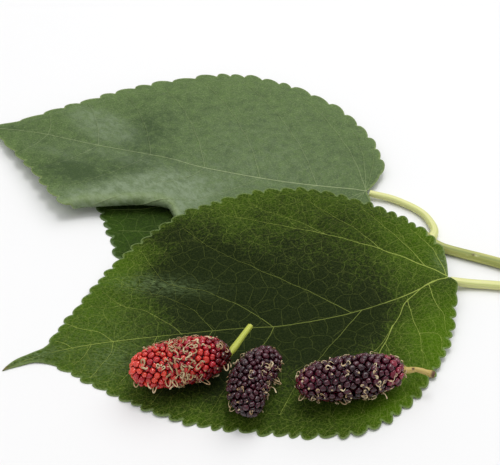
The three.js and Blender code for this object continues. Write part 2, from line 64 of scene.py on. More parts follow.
Array = np.ndarray
Draw = np.random.Generator
Band = tuple[float, float]
Triple = tuple[float, float, float]
Colour = str | Triple  # a hexadecimal screen colour, or linear red, green and blue
Faces = list[tuple[int, ...]]
Points = Sequence[tuple[float, ...]] | Array
Piece = bpy.types.Object
Material = bpy.types.Material
Socket = bpy.types.NodeSocket

MM = 0.001
PLAN_CENTRE = np.array([13.2, -1.6, 0.0])  # middle of the sprig's box, in the plan
BODY = "root"
SPIRAL_TURN = 2.4  # radians from one bud scale, or tooth, to the next


# ---- numbers and lines


def ease(low: float, high: float, value: Array | float) -> Array:
    """Rises smoothly from 0 at low to 1 at high."""
    t = np.clip((np.asarray(value, float) - low) / (high - low), 0.0, 1.0)
    return t * t * (3.0 - 2.0 * t)


def bell(away: Array, width: float) -> Array:
    """Falls smoothly from 1, where away is 0, to about a third at the width."""
    return np.exp(-((away / width) ** 2))


def unit(vectors: Array) -> Array:
    """The vectors at length one."""
    lengths = np.linalg.norm(vectors, axis=-1, keepdims=True)
    return vectors / np.maximum(lengths, 1e-12)


def left_of(headings: Array) -> Array:
    """The directions square to flat headings, on their left."""
    return np.column_stack([-headings[:, 1], headings[:, 0]])


def ring_angles(sides: int) -> Array:
    """Even angles round a ring."""
    return 2 * np.pi * np.arange(sides) / sides


def wrapped(angles: Array) -> Array:
    """The angles, brought to within half a turn of 0."""
    return np.angle(np.exp(1j * angles))


def colour_of(code: str) -> Triple:
    """The linear colour of a screen colour.

    Args:
        code: the screen colour in hexadecimal, such as '45582a'.

    Returns:
        Its linear red, green and blue.
    """
    shares = [int(code[i : i + 2], 16) / 255.0 for i in (0, 2, 4)]
    red, green, blue = (s / 12.92 if s <= 0.04045 else ((s + 0.055) / 1.055) ** 2.4 for s in shares)
    return red, green, blue


class Course:
    """A smooth line through given points, looked up by its share of length."""

    SPAN_STEPS = 60
    LEAST_GAP = 1e-4
    HEADING_REACH = 2e-3  # share of the line over which its direction is taken

    def __init__(self, points: Points, centripetal: bool = False) -> None:
        """Traces the line.

        Args:
            points: the points that it passes through, in two or three dimensions.
            centripetal: whether uneven gaps between the points are allowed for.
        """
        knots = np.asarray(points, float)
        first = 2 * knots[0] - knots[1] if centripetal else knots[0]
        last = 2 * knots[-1] - knots[-2] if centripetal else knots[-1]
        whole = np.vstack([first, knots, last])
        t = np.linspace(0.0, 1.0, self.SPAN_STEPS, endpoint=False)[:, None]
        spans = []
        for p0, p1, p2, p3 in zip(whole, whole[1:], whole[2:], whole[3:]):
            if centripetal:
                gaps = (p1 - p0, p2 - p1, p3 - p2)
                d0, d1, d2 = (max(np.linalg.norm(gap), self.LEAST_GAP) ** 0.5 for gap in gaps)
                leave = ((p1 - p0) / d0 - (p2 - p0) / (d0 + d1) + (p2 - p1) / d1) * d1
                arrive = ((p2 - p1) / d1 - (p3 - p1) / (d1 + d2) + (p3 - p2) / d2) * d1
            else:
                leave, arrive = (p2 - p0) / 2, (p3 - p1) / 2
            cubic = 2 * p1 - 2 * p2 + leave + arrive
            square = 3 * p2 - 3 * p1 - 2 * leave - arrive
            spans.append(((cubic * t + square) * t + leave) * t + p1)
        self.points = np.vstack([*spans, knots[-1:]])
        steps = np.linalg.norm(np.diff(self.points, axis=0), axis=1)
        travelled = np.concatenate([[0.0], np.cumsum(steps)])
        self.length = float(travelled[-1])
        self.shares = travelled / self.length
        self.knot_shares = self.shares[:: self.SPAN_STEPS]

    def at(self, shares: Array | float) -> Array:
        """The points at the given shares of the line's length, one a row."""
        wanted = np.atleast_1d(np.asarray(shares, float))
        return np.column_stack([np.interp(wanted, self.shares, axis) for axis in self.points.T])

    def heading(self, shares: Array | float) -> Array:
        """The directions of the line.

        Args:
            shares: the shares of its length at which they are taken.

        Returns:
            The directions, one a row.
        """
        wanted = np.atleast_1d(np.asarray(shares, float))
        ahead = self.at(np.minimum(wanted + self.HEADING_REACH, 1.0))
        return unit(ahead - self.at(np.maximum(wanted - self.HEADING_REACH, 0.0)))


def turning_frames(line: Array) -> tuple[Array, Array, Array]:
    """Frames that follow a line without twisting.

    Args:
        line: the line's points, one a row.

    Returns:
        The headings, and two directions square to them and to each other.
    """
    headings = unit(np.gradient(line, axis=0))
    start = np.cross(headings[0], [0.0, 0.0, 1.0])
    if np.linalg.norm(start) < 0.1:
        start = np.cross(headings[0], [1.0, 0.0, 0.0])
    sides = [unit(start)]
    for heading in headings[1:]:
        carried = sides[-1] - heading * (sides[-1] @ heading)
        sides.append(unit(carried))
    side = np.array(sides)
    return headings, side, np.cross(side, headings)


# ---- meshes


def added(name: str, data: bpy.types.ID) -> Piece:
    """Adds an object to the scene.

    Args:
        name: its name.
        data: its mesh, lamp or camera.

    Returns:
        The object.
    """
    made = bpy.data.objects.new(name, data)
    bpy.context.scene.collection.objects.link(made)
    return made


@dataclass
class Shell:
    """Vertices, faces, and values held at the vertices."""

    vertices: Array
    faces: Faces
    values: dict[str, Array]

    @staticmethod
    def joined(shells: Sequence[Shell]) -> Shell:
        """One shell that holds all the given ones.

        Args:
            shells: shells that hold the same named values.

        Returns:
            The joined shell.
        """
        faces: Faces = []
        start = 0
        for shell in shells:
            faces.extend(tuple(corner + start for corner in face) for face in shell.faces)
            start += len(shell.vertices)
        names = shells[0].values
        values = {name: np.concatenate([shell.values[name] for shell in shells]) for name in names}
        return Shell(np.vstack([shell.vertices for shell in shells]), faces, values)

    def to_piece(self, name: str, node: str, slot: str, finish: Finish) -> Piece:
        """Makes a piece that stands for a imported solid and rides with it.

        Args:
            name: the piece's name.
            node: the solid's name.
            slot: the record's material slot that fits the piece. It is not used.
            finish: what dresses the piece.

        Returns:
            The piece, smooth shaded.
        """
        mesh = bpy.data.meshes.new(name)
        mesh.from_pydata(((self.vertices - PLAN_CENTRE) * MM).tolist(), [], self.faces)
        for key, values in self.values.items():
            kind, member = ("FLOAT", "value") if values.ndim == 1 else ("FLOAT_VECTOR", "vector")
            attribute = mesh.attributes.new(key, kind, "POINT")
            attribute.data.foreach_set(member, values.astype(np.float32).ravel())
        mesh.shade_smooth()
        mesh.update()
        mesh.materials.append(finish.material())
        piece = added(name, mesh)
        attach(piece, BODY)
        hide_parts(node)
        return piece


def ring_faces(rings: int, sides: int, first: int = 0) -> Faces:
    """Faces between rings of vertices that follow each other.

    Args:
        rings: how many rings there are.
        sides: how many vertices each has.
        first: the index of the first vertex of the first ring.

    Returns:
        Faces of four corners.
    """
    starts = range(first, first + (rings - 1) * sides, sides)
    steps = [(k, (k + 1) % sides) for k in range(sides)]
    return [(a + k, a + after, a + sides + after, a + sides + k) for a in starts for k, after in steps]


def tube_faces(rings: int, sides: int) -> Faces:
    """Faces of a tube with both ends closed by one face each."""
    ends = (range(sides - 1, -1, -1), range((rings - 1) * sides, rings * sides))
    return [*ring_faces(rings, sides), *(tuple(end) for end in ends)]


def pointed_faces(rings: int, sides: int) -> Faces:
    """Faces of a form made of a point, rings and a last point, in that order.

    Args:
        rings: how many rings there are.
        sides: how many vertices each has.

    Returns:
        A fan of triangles at both ends, and faces of four corners between them.
    """
    last = 1 + rings * sides
    ring = last - sides
    steps = [(k, (k + 1) % sides) for k in range(sides)]
    fans = [fan for k, after in steps for fan in ((0, 1 + after, 1 + k), (ring + k, ring + after, last))]
    return [*fans, *ring_faces(rings, sides, first=1)]


# ---- finishes


class Finish(Protocol):
    """Anything that can give its material."""

    def material(self) -> Material:
        """The finish's material."""


class Graph:
    """A short way to write a material's nodes."""

    def __init__(self, name: str) -> None:
        """Starts a material that holds one surface shader.

        Args:
            name: the material's name.
        """
        self.made = bpy.data.materials.new(name)
        self.made.use_nodes = True
        self.tree = self.made.node_tree
        self.tree.nodes.clear()
        self.surface = self.node("ShaderNodeBsdfPrincipled", {})
        self.node("ShaderNodeOutputMaterial", {"Surface": self.surface.outputs[0]})

    def node(self, kind: str, feeds: dict[str | int, object], **settings: object) -> bpy.types.Node:
        """Adds a node.

        Args:
            kind: what the node is.
            feeds: what its sockets are fed, by the socket's name or number.
            settings: the node's own settings.

        Returns:
            The node.
        """
        made = self.tree.nodes.new(kind)
        for key, value in settings.items():
            setattr(made, key, value)
        for socket, value in feeds.items():
            self.feed(made.inputs[socket], value)
        return made

    def feed(self, socket: Socket, value: object) -> None:
        """Links a socket to another, or sets it to a plain value.

        Args:
            socket: the socket that is fed.
            value: another node's socket, a number, a vector or a colour.
        """
        if isinstance(value, Socket):
            self.tree.links.new(value, socket)
        elif socket.type == "RGBA":
            socket.default_value = (*(colour_of(value) if isinstance(value, str) else value), 1.0)
        else:
            socket.default_value = value

    def set(self, **values: object) -> None:
        """Feeds the surface shader's sockets, with _ for each space in a socket's name."""
        for key, value in values.items():
            self.feed(self.surface.inputs[key.replace("_", " ")], value)

    def held(self, name: str) -> Socket:
        """A number held at the vertices."""
        return self.node("ShaderNodeAttribute", {}, attribute_name=name).outputs["Fac"]

    def held_place(self, name: str) -> Socket:
        """A place held at the vertices."""
        return self.node("ShaderNodeAttribute", {}, attribute_name=name).outputs["Vector"]

    def math(self, operation: str, *values: object) -> Socket:
        """The result of an operation on one to three values."""
        return self.node("ShaderNodeMath", dict(enumerate(values)), operation=operation).outputs[0]

    def times(self, first: object, second: object) -> Socket:
        """The product of two values."""
        return self.math("MULTIPLY", first, second)

    def varied(self, value: object, pattern: Socket, strength: float) -> Socket:
        """A value moved down and up where a pattern is near 0 and near 1."""
        return self.math("ADD", value, self.times(self.math("SUBTRACT", pattern, 0.5), strength))

    def span(self, value: object, low: float, high: float, start: float = 0.0, end: float = 1.0) -> Socket:
        """Value eased from start, where it is low, to end, where it is high."""
        feeds = dict(enumerate((value, low, high, start, end)))
        return self.node("ShaderNodeMapRange", feeds, interpolation_type="SMOOTHSTEP").outputs[0]

    def mix(self, share: object, first: object, second: object) -> Socket:
        """A mix of two colours by a share of the second."""
        feeds = {0: share, 6: first, 7: second}
        return self.node("ShaderNodeMix", feeds, data_type="RGBA", clamp_factor=True).outputs[2]

    def stretch(self, vector: Socket, scale: Triple) -> Socket:
        """A vector scaled along each of its axes."""
        return self.node("ShaderNodeVectorMath", {0: vector, 1: scale}, operation="MULTIPLY").outputs[0]

    def noise(self, vector: Socket, scale: float, detail: float = 3.0, rough: float = 0.55) -> Socket:
        """Cloudy noise between 0 and 1, with scale in cells a unit of the vector."""
        feeds = {"Vector": vector, "Scale": scale, "Detail": detail, "Roughness": rough}
        return self.node("ShaderNodeTexNoise", feeds).outputs[0]

    def cells(self, vector: Socket, scale: float, feature: str = "DISTANCE_TO_EDGE") -> Socket:
        """Distance to the borders of, or to the middles of, scattered cells."""
        feeds = {"Vector": vector, "Scale": scale}
        return self.node("ShaderNodeTexVoronoi", feeds, feature=feature).outputs["Distance"]

    def bump(self, height: Socket, depth: float, under: Socket | None = None) -> Socket:
        """A normal tilted by a height, with depth in millimetres for a height of one."""
        feeds = {"Height": height, "Distance": depth * MM} | ({} if under is None else {"Normal": under})
        return self.node("ShaderNodeBump", feeds).outputs[0]

    def place(self) -> Socket:
        """The place on the piece, in millimetres."""
        return self.stretch(self.node("ShaderNodeTexCoord", {}).outputs["Object"], (1.0 / MM,) * 3)


@dataclass(frozen=True)
class LeafFinish:
    """The skin of a leaf blade, with its net of fine veins."""

    name: str
    deep: Colour
    fresh_and_lit: Colour
    vein: Colour
    under: Colour
    rim: Colour
    painted_sheen: Colour
    dry: Colour = (0.16, 0.07, 0.03)
    roughness: float = 0.5
    gloss: float = 0.05
    net: float = 0.2
    sheen_streakiness: float = 0.25
    grain: float = 0.2
    # How the painted sheen's streaks are stretched and turned.
    streak: Band = (0.7, 1.7)
    streak_turn: float = 0.5
    cloud: float = 0.5
    mottle: float = 0.5
    fleck: float = 1.0
    pillow_depth: float = 0.05
    skin_depth: float = 0.03

    def material(self) -> Material:
        """The blade's material. It reads the values plan, vein, rim, dry and under, its tone with painted
        light and shade in it, and its painted sheen.

        Returns:
            The material.
        """
        g = Graph(self.name)
        plan = g.held_place("plan")
        clouds, blots = g.noise(plan, 0.11, 4.0), g.noise(plan, 0.33, 5.0, 0.7)
        flecks = g.noise(plan, 1.1, 4.0, 0.7)
        # The blade's tone, darkened by painted shade and lightened by painted light in places, and varied by
        # clouds, blots and flecks.
        lift = g.held("fresh_and_lit")
        for pattern, strength in ((clouds, self.cloud), (blots, self.mottle), (flecks, self.fleck)):
            lift = g.varied(lift, pattern, strength)
        lit = g.span(lift, -0.2, 0.5, 0.2, 1.0)
        fine, finest = g.cells(plan, 0.95), g.cells(plan, 2.4)
        lines = g.math("MAXIMUM", g.span(fine, 0.0, 0.07, 1.0, 0.0), g.span(finest, 0.0, 0.09, 0.55, 0.0))
        grain = g.span(g.noise(plan, 2.1, 3.0, 0.6), 0.5, 0.72, 0.0, self.grain)
        blade = g.mix(lift, self.deep, self.fresh_and_lit)
        blade = g.mix(g.times(lines, g.times(lit, self.net)), blade, g.mix(0.5, blade, self.vein))
        blade = g.mix(g.times(grain, lit), blade, g.mix(0.55, blade, self.vein))
        # Painted sheen: grey-green glare laid on in streaky patches.
        turn = {"Vector": plan, "Angle": self.streak_turn}
        turned = g.node("ShaderNodeVectorRotate", turn, rotation_type="Z_AXIS").outputs[0]
        waves = g.noise(g.stretch(turned, (*self.streak, 1.0)), 1.0, 5.0, 0.75)
        sheen_streaks = g.span(waves, 0.38, 0.7, 1.0 - self.sheen_streakiness, 1.0 + 0.6 * self.sheen_streakiness)
        blade = g.mix(g.times(g.held("painted_sheen"), sheen_streaks), blade, self.painted_sheen)
        shown = g.times(g.held("vein"), g.math("MULTIPLY_ADD", lit, 0.65, 0.35))
        for share, colour in ((shown, self.vein), (g.held("rim"), self.rim), (g.held("dry"), self.dry)):
            blade = g.mix(share, blade, colour)
        back = g.mix(g.math("MAXIMUM", g.held("vein"), g.times(lines, 0.4)), self.under, self.vein)
        g.set(Base_Color=g.mix(g.held("under"), blade, back))
        rough = g.span(flecks, 0.3, 0.7, self.roughness - 0.06, self.roughness + 0.12)
        g.set(Roughness=g.math("ADD", rough, g.times(g.held("under"), 0.2)))
        pillows = g.math("ADD", g.span(fine, 0.0, 0.3), g.times(g.span(finest, 0.0, 0.3), 0.35))
        normal = g.bump(pillows, self.pillow_depth)
        normal = g.bump(g.noise(plan, 4.5, 2.0), self.skin_depth, normal)
        g.set(Normal=normal, Specular_IOR_Level=self.gloss)
        return g.made


@dataclass(frozen=True)
class FleshFinish:
    """Juicy drupelets, from unripe through red to black."""

    name: str
    pale: Colour
    red: Colour
    dark: Colour
    seam_shade: Colour
    juice: float = 0.6
    roughness: float = 0.2
    ripe_mottle: float = 0.25
    skin_depth: float = 0.05
    glow: Triple = (1.0, 0.25, 0.2)  # how far red, green and blue light go into the flesh
    glow_depth: float = 0.9

    def material(self) -> Material:
        """The flesh's material. It reads the value ripe, and how deep in the seams and creases each place
        is, which darkens it with partly painted shade.

        Returns:
            The material.
        """
        g = Graph(self.name)
        place = g.place()
        ripe = g.varied(g.held("ripe"), g.noise(place, 0.9, 3.0), self.ripe_mottle)
        flesh = g.mix(g.span(ripe, 0.0, 0.5), self.pale, self.red)
        flesh = g.mix(g.span(ripe, 0.45, 0.95), flesh, self.dark)
        # Darker in the seams between drupelets and in their creases: partly dark joints, partly painted
        # shade.
        flesh = g.mix(g.times(g.held("seam_shade"), 0.5), flesh, self.seam_shade)
        streak = g.span(g.noise(place, 2.4, 4.0, 0.7), 0.45, 0.75, 0.0, 0.45)
        g.set(Base_Color=g.mix(streak, flesh, g.mix(0.5, flesh, self.pale)))
        wet = g.noise(place, 2.2, 3.0)
        g.set(Roughness=g.span(wet, 0.3, 0.7, self.roughness - 0.05, self.roughness + 0.12))
        g.set(Normal=g.bump(g.noise(place, 3.2, 3.0), self.skin_depth))
        g.set(Specular_IOR_Level=0.15, Specular_Tint=(0.9, 0.62, 0.7))
        g.set(Coat_Weight=0.8, Coat_Roughness=0.07, Coat_IOR=1.6)
        g.set(Subsurface_Weight=self.juice, Subsurface_Radius=self.glow)
        g.set(Subsurface_Scale=self.glow_depth * MM)
        return g.made


@dataclass(frozen=True)
class StyleFinish:
    """The dry, curled styles that are left on the drupelets."""

    name: str
    pale: Colour
    dry: Colour
    mottle: float = 0.7
    skin_depth: float = 0.04

    def material(self) -> Material:
        """The styles' material. It reads the value dry.

        Returns:
            The material.
        """
        g = Graph(self.name)
        place = g.place()
        shade = g.varied(g.held("dry"), g.noise(place, 1.6, 3.0), self.mottle)
        g.set(Base_Color=g.mix(shade, self.pale, self.dry))
        g.set(Roughness=g.span(g.noise(place, 4.0), 0.3, 0.7, 0.45, 0.7))
        g.set(Normal=g.bump(g.noise(place, 5.0, 3.0), self.skin_depth))
        g.set(Subsurface_Weight=0.15, Subsurface_Radius=(1.0, 0.7, 0.4), Subsurface_Scale=0.3 * MM)
        return g.made


@dataclass(frozen=True)
class StemFinish:
    """The skin of a shoot, a petiole or a stalk."""

    name: str
    light: Colour
    stripe: Colour
    scar: Colour
    pith: Colour
    stripes: float = 0.5
    dots: float = 0.0
    roughness: float = 0.4
    fibre_scale: Triple = (0.12, 2.6, 2.6)
    band_scale: Triple = (0.03, 0.55, 0.55)
    dot_scale: Triple = (0.3, 0.75, 0.75)
    skin_depth: float = 0.07

    def material(self) -> Material:
        """The skin's material. It reads the values course, stripe, scar and cut.

        Returns:
            The material.
        """
        g = Graph(self.name)
        course = g.held_place("course")
        fibres = g.noise(g.stretch(course, self.fibre_scale), 1.0, 4.0, 0.6)
        bands = g.noise(g.stretch(course, self.band_scale), 1.0, 2.0)
        darker = g.math("MAXIMUM", g.held("stripe"), g.span(bands, 0.45, 0.7, 0.0, self.stripes))
        skin = g.mix(darker, self.light, self.stripe)
        skin = g.mix(g.span(fibres, 0.4, 0.75, 0.0, 0.3), skin, g.mix(0.5, skin, self.stripe))
        dot = g.span(g.cells(g.stretch(course, self.dot_scale), 1.0, "F1"), 0.1, 0.2, self.dots, 0.0)
        skin = g.mix(dot, skin, self.pith)
        skin = g.mix(g.held("scar"), skin, self.scar)
        wood = g.mix(g.span(g.noise(g.place(), 2.5), 0.4, 0.7), self.pith, self.light)
        g.set(Base_Color=g.mix(g.held("cut"), skin, wood))
        g.set(Roughness=g.span(fibres, 0.3, 0.7, self.roughness, self.roughness + 0.15))
        g.set(Normal=g.bump(g.math("ADD", fibres, g.times(dot, 0.8)), self.skin_depth))
        g.set(Subsurface_Weight=0.2, Subsurface_Radius=(0.8, 1.0, 0.4), Subsurface_Scale=0.6 * MM)
        return g.made


@dataclass(frozen=True)
class TableFinish:
    """The plain pale surface that the sprig lies on."""

    name: str = "pale_table"
    colour: Triple = (0.86, 0.86, 0.863)
    shade: float = 0.985

    def material(self) -> Material:
        """A matt, almost even surface.

        Returns:
            The material.
        """
        g = Graph(self.name)
        tone = g.span(g.noise(g.place(), 0.004, 2.0), 0.3, 0.7, 0.0, 1.0)
        g.set(Base_Color=g.mix(tone, self.colour, tuple(c * self.shade for c in self.colour)))
        g.set(Roughness=0.7, Specular_IOR_Level=0.2)
        return g.made


# ---- leaves


class Side(Enum):
    """The two sides of a blade. The near one faces the berries."""

    NEAR = 1
    FAR = -1


class Level(IntEnum):
    """How large a vein is, from the midrib down to the finest net."""

    MIDRIB = 0
    MAIN = 1
    TOOTH = 2
    NET = 3


FAN_SHARE = 5.0 / 12.0  # share of a margin that is reached by lines from the blade's base
PATTERN_ROWS = 500  # lines to the margin between which places are looked up
NORMAL_ROUNDS = 5  # times that a blade's normals are averaged
BLADE_REST = 0.35  # middle of a blade that lies on the table
QUILT_REACH = 16.0  # the swelling between veins is whole this far from the midrib


@dataclass(frozen=True)
class Teeth:
    """Rounded teeth that lean to the tip, between two shares of a margin."""

    count: int
    first: float
    last: float
    depth: float
    base_gain: float = 0.0
    base_zone: Band = (0.1, 0.6)
    end_loss: float = 0.45
    lean: float = 1.5
    roundness: float = 0.5
    points: int = 9
    plain_points: int = 12
    crowding: float = 1.25
    tip_at: float = 0.72
    uneven: float = 0.28
    uneven_depth: float = 0.7
    seed: int = 4

    def notches(self) -> Array:
        """The margin's shares at the notches.

        Returns:
            One more share than there are teeth, unevenly far apart.
        """
        widths = 1.0 + self.uneven * np.random.default_rng(self.seed).uniform(-1.0, 1.0, self.count)
        steps = np.concatenate([[0.0], np.cumsum(widths)]) / widths.sum()
        return self.first + (self.last - self.first) * steps

    def swell(self, runs: Array) -> Array:
        """How far the margin stands out.

        Args:
            runs: shares of the margin.

        Returns:
            Millimetres at each share.
        """
        tooth = np.interp(runs, self.notches(), np.arange(self.count + 1))
        whole, share = np.floor(tooth), tooth / self.count
        wave = np.sin(np.pi * (tooth - whole) ** self.lean) ** self.roundness
        fade = 1.0 - self.end_loss * (1.0 - np.sin(np.pi * np.clip(share, 0.0, 1.0)))
        fade = fade * (1.0 + self.base_gain * (1.0 - ease(*self.base_zone, share)))
        fade = fade * (1.0 + self.uneven_depth * self.uneven * np.sin(SPIRAL_TURN * whole + self.seed))
        inside_teeth = (runs > self.first) & (runs < self.last)
        return np.where(inside_teeth, self.depth * wave * fade, 0.0)

    def runs(self) -> Array:
        """Where the margin's outline is drawn.

        Returns:
            Shares of the margin, closest on the teeth.
        """
        plain = self.plain_points
        phases = (np.arange(self.points) / self.points) ** (1.0 / self.crowding)
        teeth = (np.arange(self.count)[:, None] + phases).ravel()
        toothed = np.interp(teeth, np.arange(self.count + 1), self.notches())
        before = self.first * np.arange(1, plain) / plain
        after = self.last + (1.0 - self.last) * np.arange(plain) / plain
        return np.concatenate([before, toothed, after])

    def tips(self) -> Array:
        """The margin's share at the tip of each tooth."""
        return np.interp(np.arange(self.count) + self.tip_at, np.arange(self.count + 1), self.notches())


@dataclass(frozen=True)
class Vein:
    """A vein in the flat pattern, thinner from its start to its end."""

    points: Points
    start_width: float
    end_width: float
    level: Level = Level.MAIN
    kink: float = 0.1
    kink_length: float = 9.0

    def line(self, step: float) -> Array:
        """The vein's line, which turns a little at each kink.

        Args:
            step: how far apart its points may be.

        Returns:
            Points along the line.
        """
        course = Course(self.points)
        shares = np.linspace(0.0, 1.0, max(2, math.ceil(course.length / step) + 1))
        phase = 2.0 * np.pi * shares * course.length / self.kink_length + self.points[-1][0]
        sway = self.kink * np.arcsin(np.sin(phase)) * np.sin(np.pi * shares)
        return course.at(shares) + left_of(course.heading(shares)) * sway[:, None]

    def guides(self) -> list[Array]:
        """The lines that the blade's triangles follow.

        Returns:
            The vein's middle, then lines beside it.
        """
        step, shares = (0.55, (0.45, 1.0)) if self.level <= Level.MAIN else (0.8, (1.3,))
        line = self.line(step)
        beside = left_of(unit(np.gradient(line, axis=0)))
        half = np.linspace(self.start_width, self.end_width, len(line))[:, None] / 2
        return [line, *(line + beside * half * share * sign for share in shares for sign in (1, -1))]


@dataclass(frozen=True)
class Roll:
    """A line in the flat pattern past which the near margin is rolled under."""

    radius: float
    line: Points

    def fold(self, along: Array) -> Array:
        """How far across the blade the line is."""
        return np.interp(along, *np.array(self.line, float).T)

    def bend(self, along: Array, across: Array) -> tuple[Array, Array]:
        """Bends places past the line.

        Args:
            along: how far along the blade each place is.
            across: how far across it.

        Returns:
            The new places across, and how far each drops.
        """
        fold = self.fold(along)
        within = (along > self.line[0][0]) & (along < self.line[-1][0])
        past = np.where(within, np.maximum(across - fold, 0.0), 0.0) / self.radius
        bent = np.where(past > 0, fold + self.radius * np.sin(past), across)
        return bent, self.radius * (1.0 - np.cos(past))

    def painted_fold_light(self, along: Array, across: Array) -> Array:
        """How strong the painted highlight on the skin along the bend is.

        Args:
            along: how far along the blade each place is.
            across: how far across it.

        Returns:
            A share for each place.
        """
        start, next_to_start, *_, next_to_end, end = (x for x, _ in self.line)
        ends = ease(start, next_to_start, along) * (1.0 - ease(next_to_end, end, along))
        return ends * bell(across - self.fold(along) - 0.4, 1.6)


@dataclass
class Spots:
    """Where places of the flat pattern are on their blade."""

    flat: Array
    run: Array
    across: Array
    side: Array
    reach: Array


@dataclass(frozen=True)
class Pattern:
    """The flat pattern of a blade, in millimetres along and across from its base."""

    near: Points
    far: Points
    midrib: Points
    teeth: Teeth

    def margin(self, side: Side) -> Course:
        """The smooth margin of one side, from the base to the tip."""
        return Course(self.near if side is Side.NEAR else self.far)

    def toothed(self, side: Side, runs: Array) -> Array:
        """The toothed margin of one side.

        Args:
            side: the side.
            runs: shares of its margin.

        Returns:
            The points at those shares.
        """
        course = self.margin(side)
        outward = left_of(course.heading(runs)) * side.value
        return course.at(runs) + outward * self.teeth.swell(runs)[:, None]

    def outline(self) -> Array:
        """The whole toothed outline.

        Returns:
            Its points, round from the base by the near side.
        """
        runs = self.teeth.runs()
        near, far = (self.toothed(side, runs) for side in Side)
        return np.vstack([[self.near[0]], near, [self.near[-1]], far[::-1]])

    def spots(self, flat: Array) -> Spots:
        """Finds how far round and across the blade places of the pattern are.

        Args:
            flat: the places, along and across.

        Returns:
            Their share of the margin, share of the way to it, side and distance from the midrib.
        """
        runs = np.linspace(0.0, 1.0, PATTERN_ROWS)[1:]
        midrib = Course(self.midrib)
        spine = midrib.at(midrib_share(runs))
        line = midrib.points[np.argsort(midrib.points[:, 0])]
        level = np.interp(flat[:, 0], line[:, 0], line[:, 1])
        run, across, reach = np.zeros((3, len(flat)))
        sides = np.where(flat[:, 1] > level, 1, -1)
        for side in Side:
            lanes = self.margin(side).at(runs) - spine
            chosen = np.flatnonzero(sides == side.value)
            for block in np.array_split(chosen, max(1, len(chosen) // 4000)):
                offset = flat[block][:, None, :] - spine[None]
                turn = (lanes[:, 0] * offset[..., 1] - lanes[:, 1] * offset[..., 0]) * side.value
                passed = turn > 0
                row = np.where(passed.any(axis=1), passed.argmax(axis=1), len(runs) - 1)
                before = np.maximum(row - 1, 0)
                pick = np.arange(len(block))
                low, high = turn[pick, before], turn[pick, row]
                part = np.where(high - low > 1e-9, -low / np.maximum(high - low, 1e-9), 1.0)
                run[block] = runs[before] + (runs[row] - runs[before]) * np.clip(part, 0.0, 1.0)
                start = midrib.at(midrib_share(run[block]))
                lane = self.margin(side).at(run[block]) - start
                away = flat[block] - start
                across[block] = (away * lane).sum(axis=1) / np.maximum((lane**2).sum(axis=1), 1e-6)
                reach[block] = np.linalg.norm(away, axis=1)
        return Spots(flat, run, np.clip(across, 0.0, 1.0), sides, reach)


def midrib_share(run: Array | float) -> Array:
    """The share of the midrib at which a line to the given share of the margin starts."""
    return np.maximum(0.0, (np.asarray(run, float) - FAN_SHARE) / (1.0 - FAN_SHARE))


@dataclass(frozen=True)
class Rib:
    """A side vein, from a share of the midrib to a share of the margin."""

    side: Side
    share: float
    run: float
    width: float
    end_width: float = 0.12
    length_share: float = 0.93
    bow: float = 0.06

    def vein(self, pattern: Pattern) -> Vein:
        """Lays the side vein on a pattern, bowed to the leaf's tip.

        Args:
            pattern: the leaf's pattern.

        Returns:
            The vein.
        """
        start = Course(pattern.midrib).at(self.share)[0]
        whole = pattern.margin(self.side).at(self.run)[0] - start
        end = start + whole * self.length_share
        span = end - start
        square = np.array([span[1], -span[0]]) / np.linalg.norm(span)
        bow = square * (-math.copysign(self.bow, square[0])) * np.linalg.norm(span)
        points = [start, start + span * 0.35 + bow * 0.8, start + span * 0.7 + bow * 0.8, end]
        return Vein(points, self.width, self.end_width)


SIDE_RIBS = (
    *(Rib(side, 0.0, 0.37, 0.4) for side in Side),
    *(Rib(side, 0.004, 0.14, 0.26) for side in Side),
    *(Rib(side, 0.002, 0.25, 0.28) for side in Side),
    *(Rib(side, at, at * 0.55 + 0.42, 0.28) for side in Side for at in (0.12, 0.26, 0.4, 0.54, 0.68, 0.82)),
)


@dataclass(frozen=True)
class Mound:
    """A round rise in how a leaf lies."""

    x: float
    y: float
    spread: float
    rise: float

    def at(self, x: Array, y: Array) -> Array:
        """The rise at places in the plan."""
        squared = (x - self.x) ** 2 + (y - self.y) ** 2
        return self.rise * np.exp(-squared / (2.0 * self.spread**2))


class Lie(Protocol):
    """How high a leaf lies over the table."""

    def height(self, x: Array, y: Array, spots: Spots) -> Array:
        """The height of the middle of the blade at places in the plan."""


@dataclass(frozen=True)
class LowerLie:
    """Flat on the table, lifted a little at its base."""

    mounds: tuple[Mound, ...] = (Mound(20.0, -24.0, 7.0, 1.0),)

    def height(self, x: Array, y: Array, spots: Spots) -> Array:
        """The height of the middle of the blade at places in the plan."""
        return sum(mound.at(x, y) for mound in self.mounds)


@dataclass(frozen=True)
class BackLie:
    """Bridging the lower leaf, and dipping where the front leaf lies over it."""

    high: float = 5.8
    outer_drop: float = 1.7
    outer: Band = (8, 45)
    tip_drop: float = 1.2
    tip: Band = (-84, -56)
    base_drop: float = 0.8
    base: Band = (-10, 34)
    under_front: float = 2.45
    covered_x: Band = (-27, -15)
    covered_y: Band = (16, 36)

    def height(self, x: Array, y: Array, spots: Spots) -> Array:
        """How high the middle of the blade is.

        Args:
            x: places in the plan, along the table's near edge.
            y: the same, away from it.
            spots: the same places on the blade. It is not used.

        Returns:
            Millimetres over a blade that lies on the table.
        """
        inland = self.high - self.outer_drop * ease(*self.outer, y)
        inland = inland - self.tip_drop * (1 - ease(*self.tip, x)) - self.base_drop * ease(*self.base, x)
        under = ease(*self.covered_x, x) * (1 - ease(*self.covered_y, y))
        return inland + (self.under_front - inland) * under - BLADE_REST


